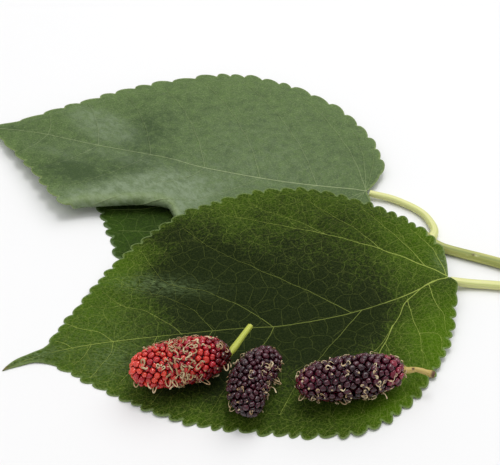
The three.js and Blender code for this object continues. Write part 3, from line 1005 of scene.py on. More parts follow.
@dataclass(frozen=True)
class FrontLie:
    """On the table along its near side, and climbing over the other leaves."""

    climb: float = 4.4
    climb_x: Band = (-58, 2)
    climb_y: Band = (-50, -4)
    swag: float = 0.5
    wave: float = 0.55
    waves: int = 6
    wave_start: float = 0.6
    trough: float = 0.6
    trough_from: Band = (0.88, 0.95)
    trough_to: Band = (0.94, 0.985)
    mounds: tuple[Mound, ...] = (
        Mound(-19.0, 3.0, 7.0, 1.6),
        Mound(49.0, -50.0, 12.0, 1.9),
        Mound(50.5, -28.5, 4.2, 1.6),
    )

    def height(self, x: Array, y: Array, spots: Spots) -> Array:
        """How high the middle of the blade is.

        Args:
            x: places in the plan, along the table's near edge.
            y: the same, away from it.
            spots: the same places on the blade.

        Returns:
            Millimetres over a blade that lies on the table.
        """
        lie = self.climb * ease(*self.climb_y, y) * ease(*self.climb_x, x)
        lie = lie + sum(mound.at(x, y) for mound in self.mounds)
        lie = lie + self.swag * np.sin(np.pi * spots.across) * (spots.side > 0)
        lie = lie + self.wave * spots.across**3 * np.sin(self.waves * np.pi * spots.run + self.wave_start)
        trough = self.trough * spots.across * ease(*self.trough_from, spots.run)
        return lie + trough * (1.0 - ease(*self.trough_to, spots.run))


@dataclass(frozen=True)
class Patch:
    """A soft oval patch of the flat pattern."""

    along: float
    across: float
    long: float
    wide: float
    gain: float
    turn: float = 0.0
    firm: float = 1.0

    def at(self, flat: Array) -> Array:
        """How strong the patch is.

        Args:
            flat: places of the pattern.

        Returns:
            Its strength at each.
        """
        way = np.array([math.cos(math.radians(self.turn)), math.sin(math.radians(self.turn))])
        away = flat - (self.along, self.across)
        forth, aside = away @ way, away @ (-way[1], way[0])
        away_squared = (forth / self.long) ** 2 + (aside / self.wide) ** 2
        return self.gain * np.exp(-((away_squared / 2.0) ** self.firm))


def patched(flat: Array, patches: Sequence[Patch], ground: Array | float = 0.0, low: float = 0.0) -> Array:
    """The sum of patches over a ground value, kept between low and 1."""
    total = ground + sum((patch.at(flat) for patch in patches), np.zeros(len(flat)))
    return np.clip(total, low, 1.0)


@dataclass(frozen=True)
class Relief:
    """How high veins stand and grooves sink in a blade's two faces, each with its half width."""

    main_groove: Band = (0.16, 0.9)
    small_groove: Band = (0.07, 0.45)
    main_ridge: float = 0.07
    under_midrib: Band = (0.75, 0.55)
    under_midrib_loss: float = 0.8
    under_main: Band = (0.3, 0.35)
    under_small: float = 0.1
    pillow: float = 3.0
    fullness: float = 1.05
    plumpness: float = 0.7
    main_edge: Band = (0.4, 1.0)
    small_edge: Band = (0.3, 1.3)
    groove_margin: float = 1.5
    ridge_margin: float = 2.5


@dataclass
class Leaf:
    """One leaf blade, with its veins raised and sunk in both faces."""

    name: str
    node: str
    slot: str
    base: tuple[float, float]
    heading: float
    pattern: Pattern
    lie: Lie
    veins: Sequence[Vein]
    finish: LeafFinish
    quilt: float
    roll: Roll | None = None
    spacing: float = 0.62
    net_spacing: float = 4.4
    body_thickness: float = 0.66
    rim_thickness: float = 0.26
    rim_reach: float = 4.0
    fresh_and_lit_at: tuple[Patch, ...] = ()
    fresh_and_lit_base: float = 0.3
    fresh_and_lit_margin: float = 0.25
    painted_sheen_at: tuple[Patch, ...] = ()
    dry_at: tuple[Patch, ...] = ()
    vein_show: Triple = (0.9, 0.85, 0.32)
    rim_show: float = 0.65
    rim_width: Band = (0.05, 0.25)
    fold_light_show: float = 0.2
    groove: float = 1.0
    relief: Relief = Relief()
    seed: int = 5

    def build(self) -> Piece:
        """Makes the blade and dresses it.

        Returns:
            The finished piece.
        """
        outline = self.pattern.outline()
        veins = [self._midrib_vein(), *self.veins, *self._tooth_veins()]
        net = self._net(outline, veins)
        shell = self._thicken(outline, veins, net, *self._triangles(outline, [*veins, *net]))
        return shell.to_piece(self.name, self.node, self.slot, self.finish)

    def _midrib_vein(self) -> Vein:
        """The midrib as a vein, which ends just short of the tip."""
        line = Course(self.pattern.midrib).at(np.linspace(0.0, 0.985, 60))
        return Vein(line, 0.46, 0.14, level=Level.MIDRIB, kink=0.0)

    def _tooth_veins(self) -> list[Vein]:
        """The veins of the teeth.

        Returns:
            A short vein that runs back from the tip of each tooth.
        """
        made = []
        runs = self.pattern.teeth.tips()
        for side in Side:
            tips = self.pattern.toothed(side, runs)
            heading = self.pattern.margin(side).heading(runs)
            inward = -left_of(heading) * side.value
            for tip, along, inner in zip(tips, heading, inward):
                ends = [tip + 0.5 * inner, tip + 1.9 * inner - 0.8 * along, tip + 3.4 * inner - 2.3 * along]
                made.append(Vein(ends, 0.12, 0.2, level=Level.TOOTH, kink=0.0))
        return made

    def _net(self, outline: Array, veins: Sequence[Vein]) -> list[Vein]:
        """The net between the main veins: borders of scattered cells.

        Args:
            outline: the toothed outline.
            veins: the main veins, which the cells keep clear of.

        Returns:
            The net's short veins.
        """
        scatter, clearance, longest, margin, bow, width = 0.3, 0.22, 1.8, 1.0, 0.13, 0.18
        draw = np.random.default_rng(self.seed)
        step = self.net_spacing
        seeds = hex_grid(outline, step)
        seeds = seeds + draw.uniform(-scatter, scatter, seeds.shape) * step
        main = tree_of(np.vstack([v.line(0.5) for v in veins if v.level <= Level.MAIN]))
        seeds = seeds[distances(main, seeds) > clearance * step]
        _, _, cells, _, _, _ = delaunay_2d_cdt([Vector(p) for p in seeds], [], [], 0, 1e-6)
        middles = circumcentres(seeds[np.array(cells)])
        owners: dict[tuple[int, int], int] = {}
        lines = []
        for index, cell in enumerate(cells):
            for a, b in zip(cell, (*cell[1:], cell[0])):
                if (b, a) in owners:
                    lines.append((middles[owners[b, a]], middles[index]))
                owners[a, b] = index
        ends = np.array(lines)
        inner = inside(outline, ends[:, 0]) & inside(outline, ends[:, 1])
        short = np.linalg.norm(ends[:, 0] - ends[:, 1], axis=1) < longest * step
        kept = ends[inner & short]
        border = tree_of(dense(outline, 0.5))
        clear = (distances(border, kept[:, 0]) > margin) & (distances(border, kept[:, 1]) > margin)
        made = []
        for a, b in kept[clear]:
            aside = np.array([a[1] - b[1], b[0] - a[0]]) * draw.uniform(-bow, bow)
            made.append(Vein([a, (a + b) / 2 + aside, b], width, width, level=Level.NET, kink=0.0))
        return made

    def _triangles(self, outline: Array, veins: Sequence[Vein]) -> tuple[Array, Faces]:
        """Divides the pattern into triangles that follow the outline and every vein.

        Args:
            outline: the toothed outline.
            veins: all the veins.

        Returns:
            The places and the triangles.
        """
        count = len(outline)
        places = [outline]
        edges = [(i, (i + 1) % count) for i in range(count)]
        lines = [line for vein in veins for line in vein.guides()]
        within = inside(outline, np.vstack(lines))
        start = 0
        for line in lines:
            kept = line[within[start : start + len(line)]]
            start += len(line)
            if len(kept) > 1:
                places.append(kept)
                edges.extend((count + i, count + i + 1) for i in range(len(kept) - 1))
                count += len(kept)
        drawn = np.vstack(places)
        grid = hex_grid(outline, self.spacing)
        along_edges = np.vstack([dense(drawn[list(edge)], 0.3) for edge in edges])
        grid = grid[distances(tree_of(along_edges), grid) > 0.45 * self.spacing]
        everything = [Vector(p) for p in np.vstack([drawn, grid])]
        made = delaunay_2d_cdt(everything, edges, [list(range(len(outline)))], 1, 0.03)
        return np.array([tuple(v) for v in made[0]]), [tuple(face) for face in made[2]]

    def _thicken(
        self, outline: Array, veins: Sequence[Vein], net: Sequence[Vein], flat: Array, faces: Faces
    ) -> Shell:
        """Lays the pattern out in space and gives it two faces.

        Args:
            outline: the toothed outline.
            veins: the midrib, the main veins and those of the teeth.
            net: the net's veins.
            flat: places of the pattern.
            faces: triangles between them.

        Returns:
            The closed blade with the values that its finish reads.
        """
        relief = self.relief
        spots = self.pattern.spots(flat)
        large = [v for v in veins if v.level <= Level.MAIN]
        fine = [*(v for v in veins if v.level == Level.TOOTH), *net]
        spine, spine_line = near_veins(flat, veins[:1], relief.main_edge)
        main, main_line = near_veins(flat, large, relief.main_edge)
        small, small_line = near_veins(flat, fine, relief.small_edge)
        closed = np.vstack([outline, outline[:1]])
        border, _ = nearest(flat, [closed], [np.zeros(len(closed))])

        gain = self.body_thickness - self.rim_thickness
        thickness = self.rim_thickness + gain * ease(0.0, self.rim_reach, border)
        middle = self._laid(spots, border)
        body = np.sin(np.pi * np.minimum(1.0, spots.across * relief.fullness)) ** relief.plumpness
        pillow = 1.0 - bell(main, relief.pillow)
        swell = self.quilt * pillow * body * ease(0.0, QUILT_REACH, spots.reach)
        (deep, wide), (small_deep, small_wide) = relief.main_groove, relief.small_groove
        groove = deep * bell(main, wide) + small_deep * bell(small, small_wide)
        middle[:, 2] += swell - self.groove * groove * ease(0.0, relief.groove_margin, border)
        middle[:, 2] = np.maximum(middle[:, 2], thickness / 2 + 0.01)

        normals = smooth_normals(middle, faces)
        over = middle + normals * (thickness / 2 + relief.main_ridge * main_line)[:, None]
        (high, wide), (main_high, main_wide) = relief.under_midrib, relief.under_main
        loss = 1.0 - relief.under_midrib_loss * midrib_share(spots.run)
        ridge = high * loss * bell(spine, wide) + main_high * bell(main, main_wide)
        ridge = (ridge + relief.under_small * small_line) * ease(0.0, relief.ridge_margin, border)
        under = middle - normals * (thickness / 2 + ridge)[:, None]
        under[:, 2] = np.maximum(under[:, 2], 0.005)

        count = len(flat)
        back = [(a + count, c + count, b + count) for a, b, c in faces]
        walls = [(b, a, a + count, b + count) for a, b in rim_of(faces)]
        shown = zip(self.vein_show, (spine_line, main_line, small_line))
        # The tone rises towards the margin, partly the blade's own colour and partly painted light; the tone
        # patches add more painted light and shade.
        fresh_and_lit = self.fresh_and_lit_base + self.fresh_and_lit_margin * spots.across**3
        # A pale band along the margin: partly the margin's own paler colour, partly painted rim light.
        rim = self.rim_show * (1.0 - ease(*self.rim_width, border))
        # Along the roll it also holds a painted highlight on the bend.
        if self.roll:
            rim = np.maximum(rim, self.fold_light_show * self.roll.painted_fold_light(*flat.T))
        values = {
            "plan": np.column_stack([flat, np.zeros(count)]),
            "vein": np.max([line * show for show, line in shown], axis=0),
            "fresh_and_lit": patched(flat, self.fresh_and_lit_at, fresh_and_lit, low=-0.3),
            # Patches of painted sheen.
            "painted_sheen": patched(flat, self.painted_sheen_at),
            "dry": patched(flat, self.dry_at),
            "rim": rim,
        }
        doubled = {name: np.concatenate([value, value]) for name, value in values.items()}
        doubled["under"] = np.concatenate([np.zeros(count), np.ones(count)])
        return Shell(np.vstack([over, under]), [*faces, *back, *walls], doubled)

    def _laid(self, spots: Spots, border: Array) -> Array:
        """The middle of the blade in the plan, without its swelling.

        Args:
            spots: places on the blade.
            border: how far each is from the outline.

        Returns:
            Points in the plan.
        """
        along, across = spots.flat.T
        drop = np.zeros(len(along))
        if self.roll:
            across, drop = self.roll.bend(along, across)
        turn = math.radians(self.heading)
        x = self.base[0] + along * math.cos(turn) - across * math.sin(turn)
        y = self.base[1] + along * math.sin(turn) + across * math.cos(turn)
        sag = (BLADE_REST - self.rim_thickness / 2) * (1.0 - ease(0.0, self.rim_reach, border))
        z = self.lie.height(x, y, spots) + BLADE_REST - sag - drop
        return np.column_stack([x, y, z])


# ---- flat geometry


def hex_grid(outline: Array, step: float) -> Array:
    """Points in even triangles inside an outline.

    Args:
        outline: the closed outline.
        step: how far apart the points are.

    Returns:
        The points.
    """
    low, high = outline.min(axis=0), outline.max(axis=0)
    rows = np.arange(low[1], high[1], step * math.sqrt(0.75))
    columns = np.arange(low[0], high[0] + step, step)
    x = columns[None, :] + np.where(np.arange(len(rows)) % 2, step / 2, 0.0)[:, None]
    grid = np.column_stack([x.ravel(), np.repeat(rows, len(columns))])
    return grid[inside(outline, grid)]


def inside(outline: Array, places: Array) -> Array:
    """Whether places are inside an outline.

    Args:
        outline: the closed outline.
        places: the places.

    Returns:
        True or false for each place.
    """
    x, y = places[:, 0], places[:, 1]
    crossings = np.zeros(len(places), int)
    for (x0, y0), (x1, y1) in zip(outline, np.roll(outline, -1, axis=0)):
        if y0 == y1:
            continue
        spans = (y0 > y) != (y1 > y)
        crossings += spans & (x < (x1 - x0) * (y - y0) / (y1 - y0) + x0)
    return crossings % 2 == 1


def dense(knots: Array, step: float) -> Array:
    """Points along the straight stretches of a line.

    Args:
        knots: the line's corners.
        step: how far apart the points may be.

    Returns:
        The points, with the corners among them.
    """
    parts = []
    for a, b in zip(knots, knots[1:]):
        count = max(1, int(np.ceil(np.linalg.norm(b - a) / step)))
        parts.append(a + (b - a) * (np.arange(count) / count)[:, None])
    return np.vstack([*parts, knots[-1:]])


def tree_of(places: Array) -> KDTree:
    """Prepares a search among flat places.

    Args:
        places: the places.

    Returns:
        The search tree.
    """
    tree = KDTree(len(places))
    for index, (x, y) in enumerate(places):
        tree.insert((x, y, 0.0), index)
    tree.balance()
    return tree


def distances(tree: KDTree, places: Array) -> Array:
    """How far each place is from the nearest one in the tree."""
    return np.array([tree.find((x, y, 0.0))[2] for x, y in places])


def nearest(places: Array, lines: Sequence[Array], values: Sequence[Array]) -> tuple[Array, Array]:
    """Measures how far places are from the nearest of some lines.

    Args:
        places: the places.
        lines: points along each line.
        values: a value at each of those points.

    Returns:
        The distances, and the line's value at the nearest point.
    """
    points, worth = np.vstack(lines), np.concatenate(values)
    owner = np.repeat(np.arange(len(lines)), [len(line) for line in lines])
    tree = tree_of(points)
    found = np.array([tree.find((x, y, 0.0))[1] for x, y in places])
    best, value = np.full(len(places), np.inf), np.zeros(len(places))
    for first in (np.maximum(found - 1, 0), np.minimum(found, len(points) - 2)):
        last = np.where(owner[first] == owner[first + 1], first + 1, found)
        start = np.where((last == found) & (owner[first] != owner[found]), found, first)
        way = points[last] - points[start]
        squared = np.maximum((way**2).sum(axis=1), 1e-12)
        part = np.clip(((places - points[start]) * way).sum(axis=1) / squared, 0.0, 1.0)
        away = np.linalg.norm(places - points[start] - way * part[:, None], axis=1)
        nearer = away < best
        best = np.where(nearer, away, best)
        value = np.where(nearer, worth[start] + (worth[last] - worth[start]) * part, value)
    return best, value


def near_veins(places: Array, veins: Sequence[Vein], edge: Band) -> tuple[Array, Array]:
    """Measures how far places are from the nearest vein.

    Args:
        places: the places.
        veins: the veins.
        edge: where a vein starts and ends to fade, in half widths from its middle.

    Returns:
        The distances, and how much of the vein is there.
    """
    lines = [vein.line(0.25) for vein in veins]
    halves = [np.linspace(v.start_width, v.end_width, len(line)) / 2 for v, line in zip(veins, lines)]
    away, half = nearest(places, lines, halves)
    return away, 1.0 - ease(*edge, away / np.maximum(half, 1e-6))


def circumcentres(corners: Array) -> Array:
    """The middles of the circles through triangles' corners.

    Args:
        corners: three places for each triangle.

    Returns:
        One place for each triangle.
    """
    a, b, c = corners[:, 0], corners[:, 1] - corners[:, 0], corners[:, 2] - corners[:, 0]
    twice = 2.0 * (b[:, 0] * c[:, 1] - b[:, 1] * c[:, 0])
    twice = np.where(np.abs(twice) < 1e-9, 1e-9, twice)
    bb, cc = (b**2).sum(axis=1), (c**2).sum(axis=1)
    x = (c[:, 1] * bb - b[:, 1] * cc) / twice
    y = (b[:, 0] * cc - c[:, 0] * bb) / twice
    return a + np.column_stack([x, y])


def rim_of(faces: Faces) -> list[tuple[int, int]]:
    """The edges that only one face has, in that face's order."""
    sides = {(a, b) for face in faces for a, b in zip(face, (*face[1:], face[0]))}
    return sorted((a, b) for a, b in sides if (b, a) not in sides)


def smooth_normals(vertices: Array, faces: Faces) -> Array:
    """The directions that a surface faces at its vertices, averaged over the triangles round them.

    Args:
        vertices: the vertices.
        faces: triangles between them.

    Returns:
        A direction for each vertex.
    """
    corners = np.array(faces)
    a, b, c = (vertices[corners[:, i]] for i in range(3))
    total, shared = np.zeros_like(vertices), np.cross(b - a, c - a)
    for _ in range(NORMAL_ROUNDS + 1):
        for i in range(3):
            np.add.at(total, corners[:, i], shared)
        normals = unit(total)
        total, shared = normals.copy(), normals[corners].sum(axis=1)
    return normals


# ---- berries


PROFILE_STEPS = 180
FULLNESS = 0.72  # under 1 the ends of a berry are blunter than an ellipse's
AXIS_STEPS = 64
GOLDEN_TURN = 3.0 - math.sqrt(5.0)  # in half turns. It spreads places evenly


@dataclass(frozen=True)
class Ripeness:
    """How ripe a berry is, from its free end to its stalk. 0 is pale red and 1 black."""

    free_end: float
    middle: float
    stalk_end: float
    # how much riper, so darker, the drupelets that face down are
    under: float = 0.15
    scatter: float = 0.08
    patches: tuple[Triple, ...] = ()

    def at(self, shares: Array, outward: Array, draw: Draw) -> Array:
        """The ripeness of drupelets.

        Args:
            shares: how far along the berry each is.
            outward: which way each faces, in the plan.
            draw: where the scatter comes from.

        Returns:
            A value for each drupelet.
        """
        along = np.interp(shares, (0.0, 0.5, 1.0), (self.free_end, self.middle, self.stalk_end))
        ripe = along + self.under * np.clip(-outward[:, 2] + 0.2, 0.0, 1.0)
        ripe = ripe + draw.normal(0.0, self.scatter, len(shares))
        for share, spread, gain in self.patches:
            ripe = ripe + gain * bell(shares - share, spread) * draw.uniform(0.3, 1.0, len(shares))
        return np.clip(ripe, 0.0, 1.0)


@dataclass(frozen=True)
class Drupelet:
    """One four-lobed cushion of flesh, on a grid of rings from its apex to its foot."""

    rings: int = 11
    sides: int = 20
    crease: float = 0.15
    crease_width: float = 0.22
    cross_crease: float = 0.5
    cross_width: float = 0.2
    crease_end: float = 0.3
    lump: float = 0.1
    bulge: float = 0.09
    squeeze: float = 4.0
    dome: float = 1.45

    def faces(self) -> Faces:
        """Faces of the grid, turned to look out where the rings sink from the apex."""
        return [(face[0], *face[:0:-1]) for face in pointed_faces(self.rings - 1, self.sides)]

    def shape(
        self, size: float, height: float, draw: Draw, walls: Array
    ) -> tuple[Array, Array]:
        """The cushion's vertices, pressed flat against its neighbours.

        Args:
            size: its radius where nothing presses on it.
            height: its height over its middle.
            draw: where the turn and the lumps of its lobes come from.
            walls: points where its neighbours' walls stand, as seen from its middle.

        Returns:
            The vertices, with the third axis outward, and how deep each is in the seams and creases, which
            its finish darkens with partly painted shade.
        """
        fall = np.pi * (np.arange(1, self.rings) / self.rings)
        falls = np.concatenate([[0.0], np.repeat(fall, self.sides), [np.pi]])
        turns = np.concatenate([[0.0], np.tile(ring_angles(self.sides), self.rings - 1), [0.0]])
        flat = np.sin(falls)
        spin, lump, bulge = draw.uniform(0.0, 2 * np.pi, 3)
        across, along = flat * np.sin(turns - spin), flat * np.cos(turns - spin)
        crease = bell(across, self.crease_width) + self.cross_crease * bell(along, self.cross_width)
        crease = np.minimum(crease, 1.0) * (falls < 0.5 * np.pi + self.crease_end)
        lumps = self.lump * np.cos(turns - lump) + self.bulge * np.cos(2 * (turns - bulge))
        reach = 1.0 + lumps * flat - self.crease * draw.uniform(0.3, 1.3) * crease
        rise = np.sign(np.cos(falls)) * np.abs(np.cos(falls)) ** self.dome
        local = np.column_stack(
            [size * flat * np.cos(turns) * reach, size * flat * np.sin(turns) * reach, height * rise * reach]
        )
        pressed = np.zeros(len(local))
        for wall in walls:
            limit = np.linalg.norm(wall)
            share = np.maximum(local @ (wall / limit), 0.0) / limit
            held = share / (1.0 + share**self.squeeze) ** (1.0 / self.squeeze)
            local += ((held - share) * limit)[:, None] * (wall / limit)
            pressed = np.maximum(pressed, ease(0.6, 1.1, share))
        # How dark each vertex is made in the seams where neighbours press and in the creases: partly painted
        # shade.
        return local, np.maximum(pressed * ease(0.7, 1.3, falls), 0.45 * crease**2)


@dataclass(frozen=True)
class Styles:
    """Curled dry styles on a berry. Most stand in pairs, and some hang from its lower edge."""

    count: int
    stubs: int
    hanging: int
    length: Band
    curl: Band
    dryness: Band
    width: float
    lift: float = 0.3
    stub_length: Band = (0.5, 1.2)
    pair_turn: Band = (1.8, 3.6)
    flatness: float = 0.45
    club_flatness: float = 0.7
    thick_at: float | None = None
    steps: int = 16
    sides: int = 6


@dataclass
class Berry:
    """One berry: pressed drupelets round a line, with dry styles on them."""

    name: str
    node: str
    slot: str
    axis: Points
    radius: float
    pitch: float
    ripeness: Ripeness
    flesh: FleshFinish
    styles: Styles
    style_finish: StyleFinish
    seed: int
    drupelet: Drupelet = Drupelet()
    packing: float = 0.84
    sizes: Band = (0.47, 0.71)
    growth: float = 1.14
    seam_gap: float = 0.012
    stands_out: float = 1.1
    heights: Band = (0.76, 1.2)
    core: Triple = (0.96, 0.82, 0.82)
    core_length: float = 0.91
    lowest: float = 0.6
    top: float = 14.65

    def __post_init__(self) -> None:
        """Prepares the line through the berry's middle and the frames along it."""
        self.draw = np.random.default_rng(self.seed)
        course = Course(self.axis, centripetal=True)
        self.half = course.length / 2
        self.line = course.at(np.linspace(0.0, 1.0, AXIS_STEPS + 1))
        self.frames = turning_frames(self.line)
        turn = np.linspace(0.0, np.pi, PROFILE_STEPS + 1)
        foot_radius = self.radius - self.stands_out
        self.profile = np.column_stack([-self.half * np.cos(turn), foot_radius * np.sin(turn) ** FULLNESS])
        self.profile[:, 0] *= (self.half - self.stands_out) / self.half

    def build(self) -> list[Piece]:
        """Makes the flesh and the styles and dresses them.

        Returns:
            The finished pieces.
        """
        self.places, self.normals, shares, self.free = self._spread()
        self.ripe = self.ripeness.at(shares, self.normals, self.draw)
        flesh = Shell.joined([self._core(), *(self._cushion(index) for index in range(len(shares)))])
        hairs = Shell.joined(self._curls())
        hairs.vertices[:, 2] = np.clip(hairs.vertices[:, 2], self.lowest, self.top)
        return [
            flesh.to_piece(self.name, self.node, self.slot, self.flesh),
            hairs.to_piece(f"{self.name}_styles", self.node, self.slot, self.style_finish),
        ]

    def _bent(self, straight: Array, directions_at: Array | None = None) -> Array:
        """Takes places round a straight line to places round the berry's own.

        Args:
            straight: places along and round the straight line, or directions.
            directions_at: where the directions stand, if they are directions.

        Returns:
            The places or directions in the plan.
        """
        along = (straight if directions_at is None else directions_at)[:, 0]
        share = np.clip((along + self.half) / (2 * self.half), 0.0, 1.0) * AXIS_STEPS
        low = np.minimum(share.astype(int), AXIS_STEPS - 1)
        part = (share - low)[:, None]
        heading, side, rise = (unit(axis[low] * (1 - part) + axis[low + 1] * part) for axis in self.frames)
        around = straight[:, 1:2] * side + straight[:, 2:3] * rise
        if directions_at is not None:
            return unit(straight[:, 0:1] * heading + around)
        return self.line[low] * (1 - part) + self.line[low + 1] * part + around

    def _spread(self) -> tuple[Array, Array, Array, Array]:
        """Spreads drupelets evenly over the berry, as they push each other apart.

        Returns:
            Their places and outward directions, their shares of the line and their free radii.
        """
        rounds, closeness, push_share = 60, 0.97, 0.22
        x, r = self.profile.T
        steps = np.hypot(np.diff(x), np.diff(r))
        rings = np.pi * (r[1:] + r[:-1]) * steps
        count = round(rings.sum() / (self.packing * self.pitch**2))
        area = np.concatenate([[0.0], np.cumsum(rings)]) / rings.sum()
        spot = np.interp((np.arange(count) + 0.5) / count, area, np.arange(len(x)))
        angle = np.arange(count) * np.pi * GOLDEN_TURN + self.draw.uniform(-0.3, 0.3, count)
        place = self._on_profile(spot.astype(int), angle)
        sizes = self.pitch * self.draw.uniform(*self.sizes, count)
        for _ in range(rounds):
            apart = place[:, None] - place[None]
            gap = np.linalg.norm(apart, axis=2) + np.eye(count) * 1e3
            push = np.maximum(closeness * (sizes[:, None] + sizes) - gap, 0.0) / gap
            place = place + push_share * (apart * push[..., None]).sum(axis=1)
            around = np.hypot(place[:, 1], place[:, 2])
            spot = ((place[:, :1] - x) ** 2 + (around[:, None] - r) ** 2).argmin(axis=1)
            angle = np.arctan2(place[:, 2], place[:, 1])
            place = self._on_profile(spot, angle)
        slope = unit(np.column_stack([-np.gradient(r), np.gradient(x)]))[spot]
        angle = np.arctan2(place[:, 2], place[:, 1])
        straight = np.column_stack([slope[:, 0], slope[:, 1] * np.cos(angle), slope[:, 1] * np.sin(angle)])
        shares = (place[:, 0] + self.half) / (2 * self.half)
        return self._bent(place), self._bent(straight, directions_at=place), shares, sizes

    def _on_profile(self, spot: Array, angle: Array) -> Array:
        """Places round the straight line at stations of the outline."""
        x, r = self.profile[spot].T
        return np.column_stack([x, r * np.cos(angle), r * np.sin(angle)])

    def _core(self) -> Shell:
        """The inner body that shows between the drupelets, dark all over with the seams' colour as painted
        shade.

        Returns:
            Its closed skin.
        """
        sides = 24
        spots = np.linspace(0, PROFILE_STEPS, 31).astype(int)[1:-1]
        rings = [self._on_profile(np.full(sides, spot), ring_angles(sides)) * self.core for spot in spots]
        ends = self.profile[[0, -1], 0] * self.core_length
        straight = np.vstack([[[ends[0], 0, 0]], *rings, [[ends[1], 0, 0]]])
        ones = np.ones(len(straight))
        # Dark all over, as the seams are: painted shade in the gaps between drupelets.
        values = {"ripe": 0.6 * ones, "seam_shade": ones}
        return Shell(self._bent(straight), pointed_faces(len(rings), sides), values)

    def _cushion(self, index: int) -> Shell:
        """One drupelet, pressed against those round it.

        Args:
            index: which one.

        Returns:
            Its closed skin.
        """
        outward, free = self.normals[index], self.free
        side = unit(np.cross(outward, [0.31, 0.92, 0.23]))
        rise = np.cross(outward, side)
        away = self.places - self.places[index]
        reach = np.linalg.norm(away, axis=1)
        near = np.flatnonzero((reach > 0) & (reach < 1.9 * self.pitch))
        shares = free[index] / (free[index] + free[near])
        walls = (away[near] * (shares - self.seam_gap)[:, None]) @ np.vstack([side, rise, outward]).T
        height = self.stands_out * self.draw.uniform(*self.heights)
        local, seam_shade = self.drupelet.shape(free[index] * self.growth, height, self.draw, walls)
        lean = unit(outward + self.draw.normal(0.0, 0.12, 3))
        vertices = self.places[index] + local[:, :1] * side + local[:, 1:2] * rise + local[:, 2:] * lean
        # Riper, so darker, towards each drupelet's foot: partly painted shade where the drupelets meet.
        ripeness = self.ripe[index] + 0.12 * (1.0 - ease(-0.1, 0.6, local[:, 2] / height))
        return Shell(vertices, self.drupelet.faces(), {"ripe": ripeness, "seam_shade": seam_shade})

    def _curls(self) -> list[Shell]:
        """The curled styles, each rooted in the apex of a drupelet.

        Returns:
            A closed ribbon for each.
        """
        styles, normals, draw = self.styles, self.normals, self.draw
        facing = np.flatnonzero(normals[:, 2] > -0.75)
        weight = np.ones(len(facing))
        if styles.thick_at is not None:
            along = (self.places[facing] - self.line[0]) @ (self.line[-1] - self.line[0])
            share = along / (2 * self.half) ** 2
            weight = 0.3 + 3.0 * bell(share - styles.thick_at, 0.16) * np.maximum(normals[facing, 2], 0.0)
        rooted = draw.choice(facing, len(facing), replace=False, p=weight / weight.sum())
        pairs, stubs = np.split(rooted, [styles.count // 2])
        made = []
        for index in pairs:
            way = draw.uniform(0.0, 2 * np.pi)
            for turn in (way, way + draw.uniform(*styles.pair_turn)):
                made.append(self._curl(index, turn, draw.uniform(*styles.length)))
        for index in stubs[: styles.stubs]:
            made.append(self._curl(index, draw.uniform(0.0, 2 * np.pi), draw.uniform(*styles.stub_length)))
        edge = np.flatnonzero((normals[:, 2] > -0.5) & (normals[:, 2] < 0.15) & (normals[:, 1] < -0.3))
        return made + [self._club(index) for index in draw.permutation(edge)[: styles.hanging]]

    def _curl(self, index: int, way: float, length: float) -> Shell:
        """A flat ribbon that leaves a drupelet's apex and curls along the surface.

        Args:
            index: which drupelet.
            way: the turn at which the ribbon leaves.
            length: the ribbon's length.

        Returns:
            The ribbon.
        """
        styles, outward, draw = self.styles, self.normals[index], self.draw
        side = unit(np.cross(outward, [0.2, 0.3, 0.93]))
        rise = np.cross(outward, side)
        s = np.linspace(0.0, 1.0, styles.steps + 1)
        bend = draw.uniform(*styles.curl) * draw.choice([-1.0, 1.0])
        turn = way + bend * s ** draw.uniform(1.0, 2.2)
        turn = turn + draw.uniform(0.3, 1.1) * np.sin(s * draw.uniform(4, 13))
        step = length * 0.9 / styles.steps
        flat = np.cumsum(np.column_stack([np.cos(turn), np.sin(turn)]) * step, axis=0)
        hump = np.sin(np.pi * np.clip(s * 1.2, 0, 1)) * draw.uniform(0.2, 1.7)
        up = self.stands_out * 0.8 + styles.lift * (0.2 + hump) - 0.08 * (flat**2).sum(axis=1)
        path = self.places[index] + flat[:, :1] * side + flat[:, 1:] * rise + up[:, None] * outward
        shape = (0.5 + 0.65 * np.sin(np.pi * s**0.7)) * (1 - 0.5 * s**4)
        width = styles.width * draw.uniform(0.6, 1.4) * shape
        dryness = draw.uniform(*styles.dryness)
        facing = outward + draw.normal(0.0, 0.35, 3)
        return ribbon(path, facing, width, styles.flatness, styles.sides, dryness)

    def _club(self, index: int) -> Shell:
        """A style that hangs from the berry's lower edge, as a loop or swollen to its end.

        Args:
            index: which drupelet it hangs from.

        Returns:
            The ribbon.
        """
        styles, outward, draw = self.styles, self.normals[index], self.draw
        s = np.linspace(0.0, 1.0, styles.steps + 1)
        reach = draw.uniform(1.3, 2.3)
        away = unit(outward * (1.0, 1.0, 0.2) + np.array([draw.normal(0, 0.5), 0.0, -0.35]))
        swing = unit(np.cross(away, [0.0, 0.0, 1.0])) * draw.choice([-1.0, 1.0])
        start = self.places[index] + outward * self.stands_out * 0.6
        if draw.uniform() < 0.5:
            out, aside = np.sin(np.pi * s) ** 0.8, draw.uniform(0.35, 0.7) * (1.0 - np.cos(np.pi * s))
            width = styles.width * (0.75 + 0.25 * np.sin(np.pi * s))
        else:
            out, aside = s, draw.uniform(0.2, 0.9) * np.sin(np.pi * s * draw.uniform(0.7, 1.6))
            width = styles.width * (0.7 + draw.uniform(0.3, 1.1) * bell(s - draw.uniform(0.7, 0.95), 0.22))
        path = start + away * (out * reach)[:, None] + swing * aside[:, None]
        up = np.array([0.0, 0.0, 1.0])
        return ribbon(path, up, width, styles.club_flatness, styles.sides, draw.uniform(*styles.dryness))


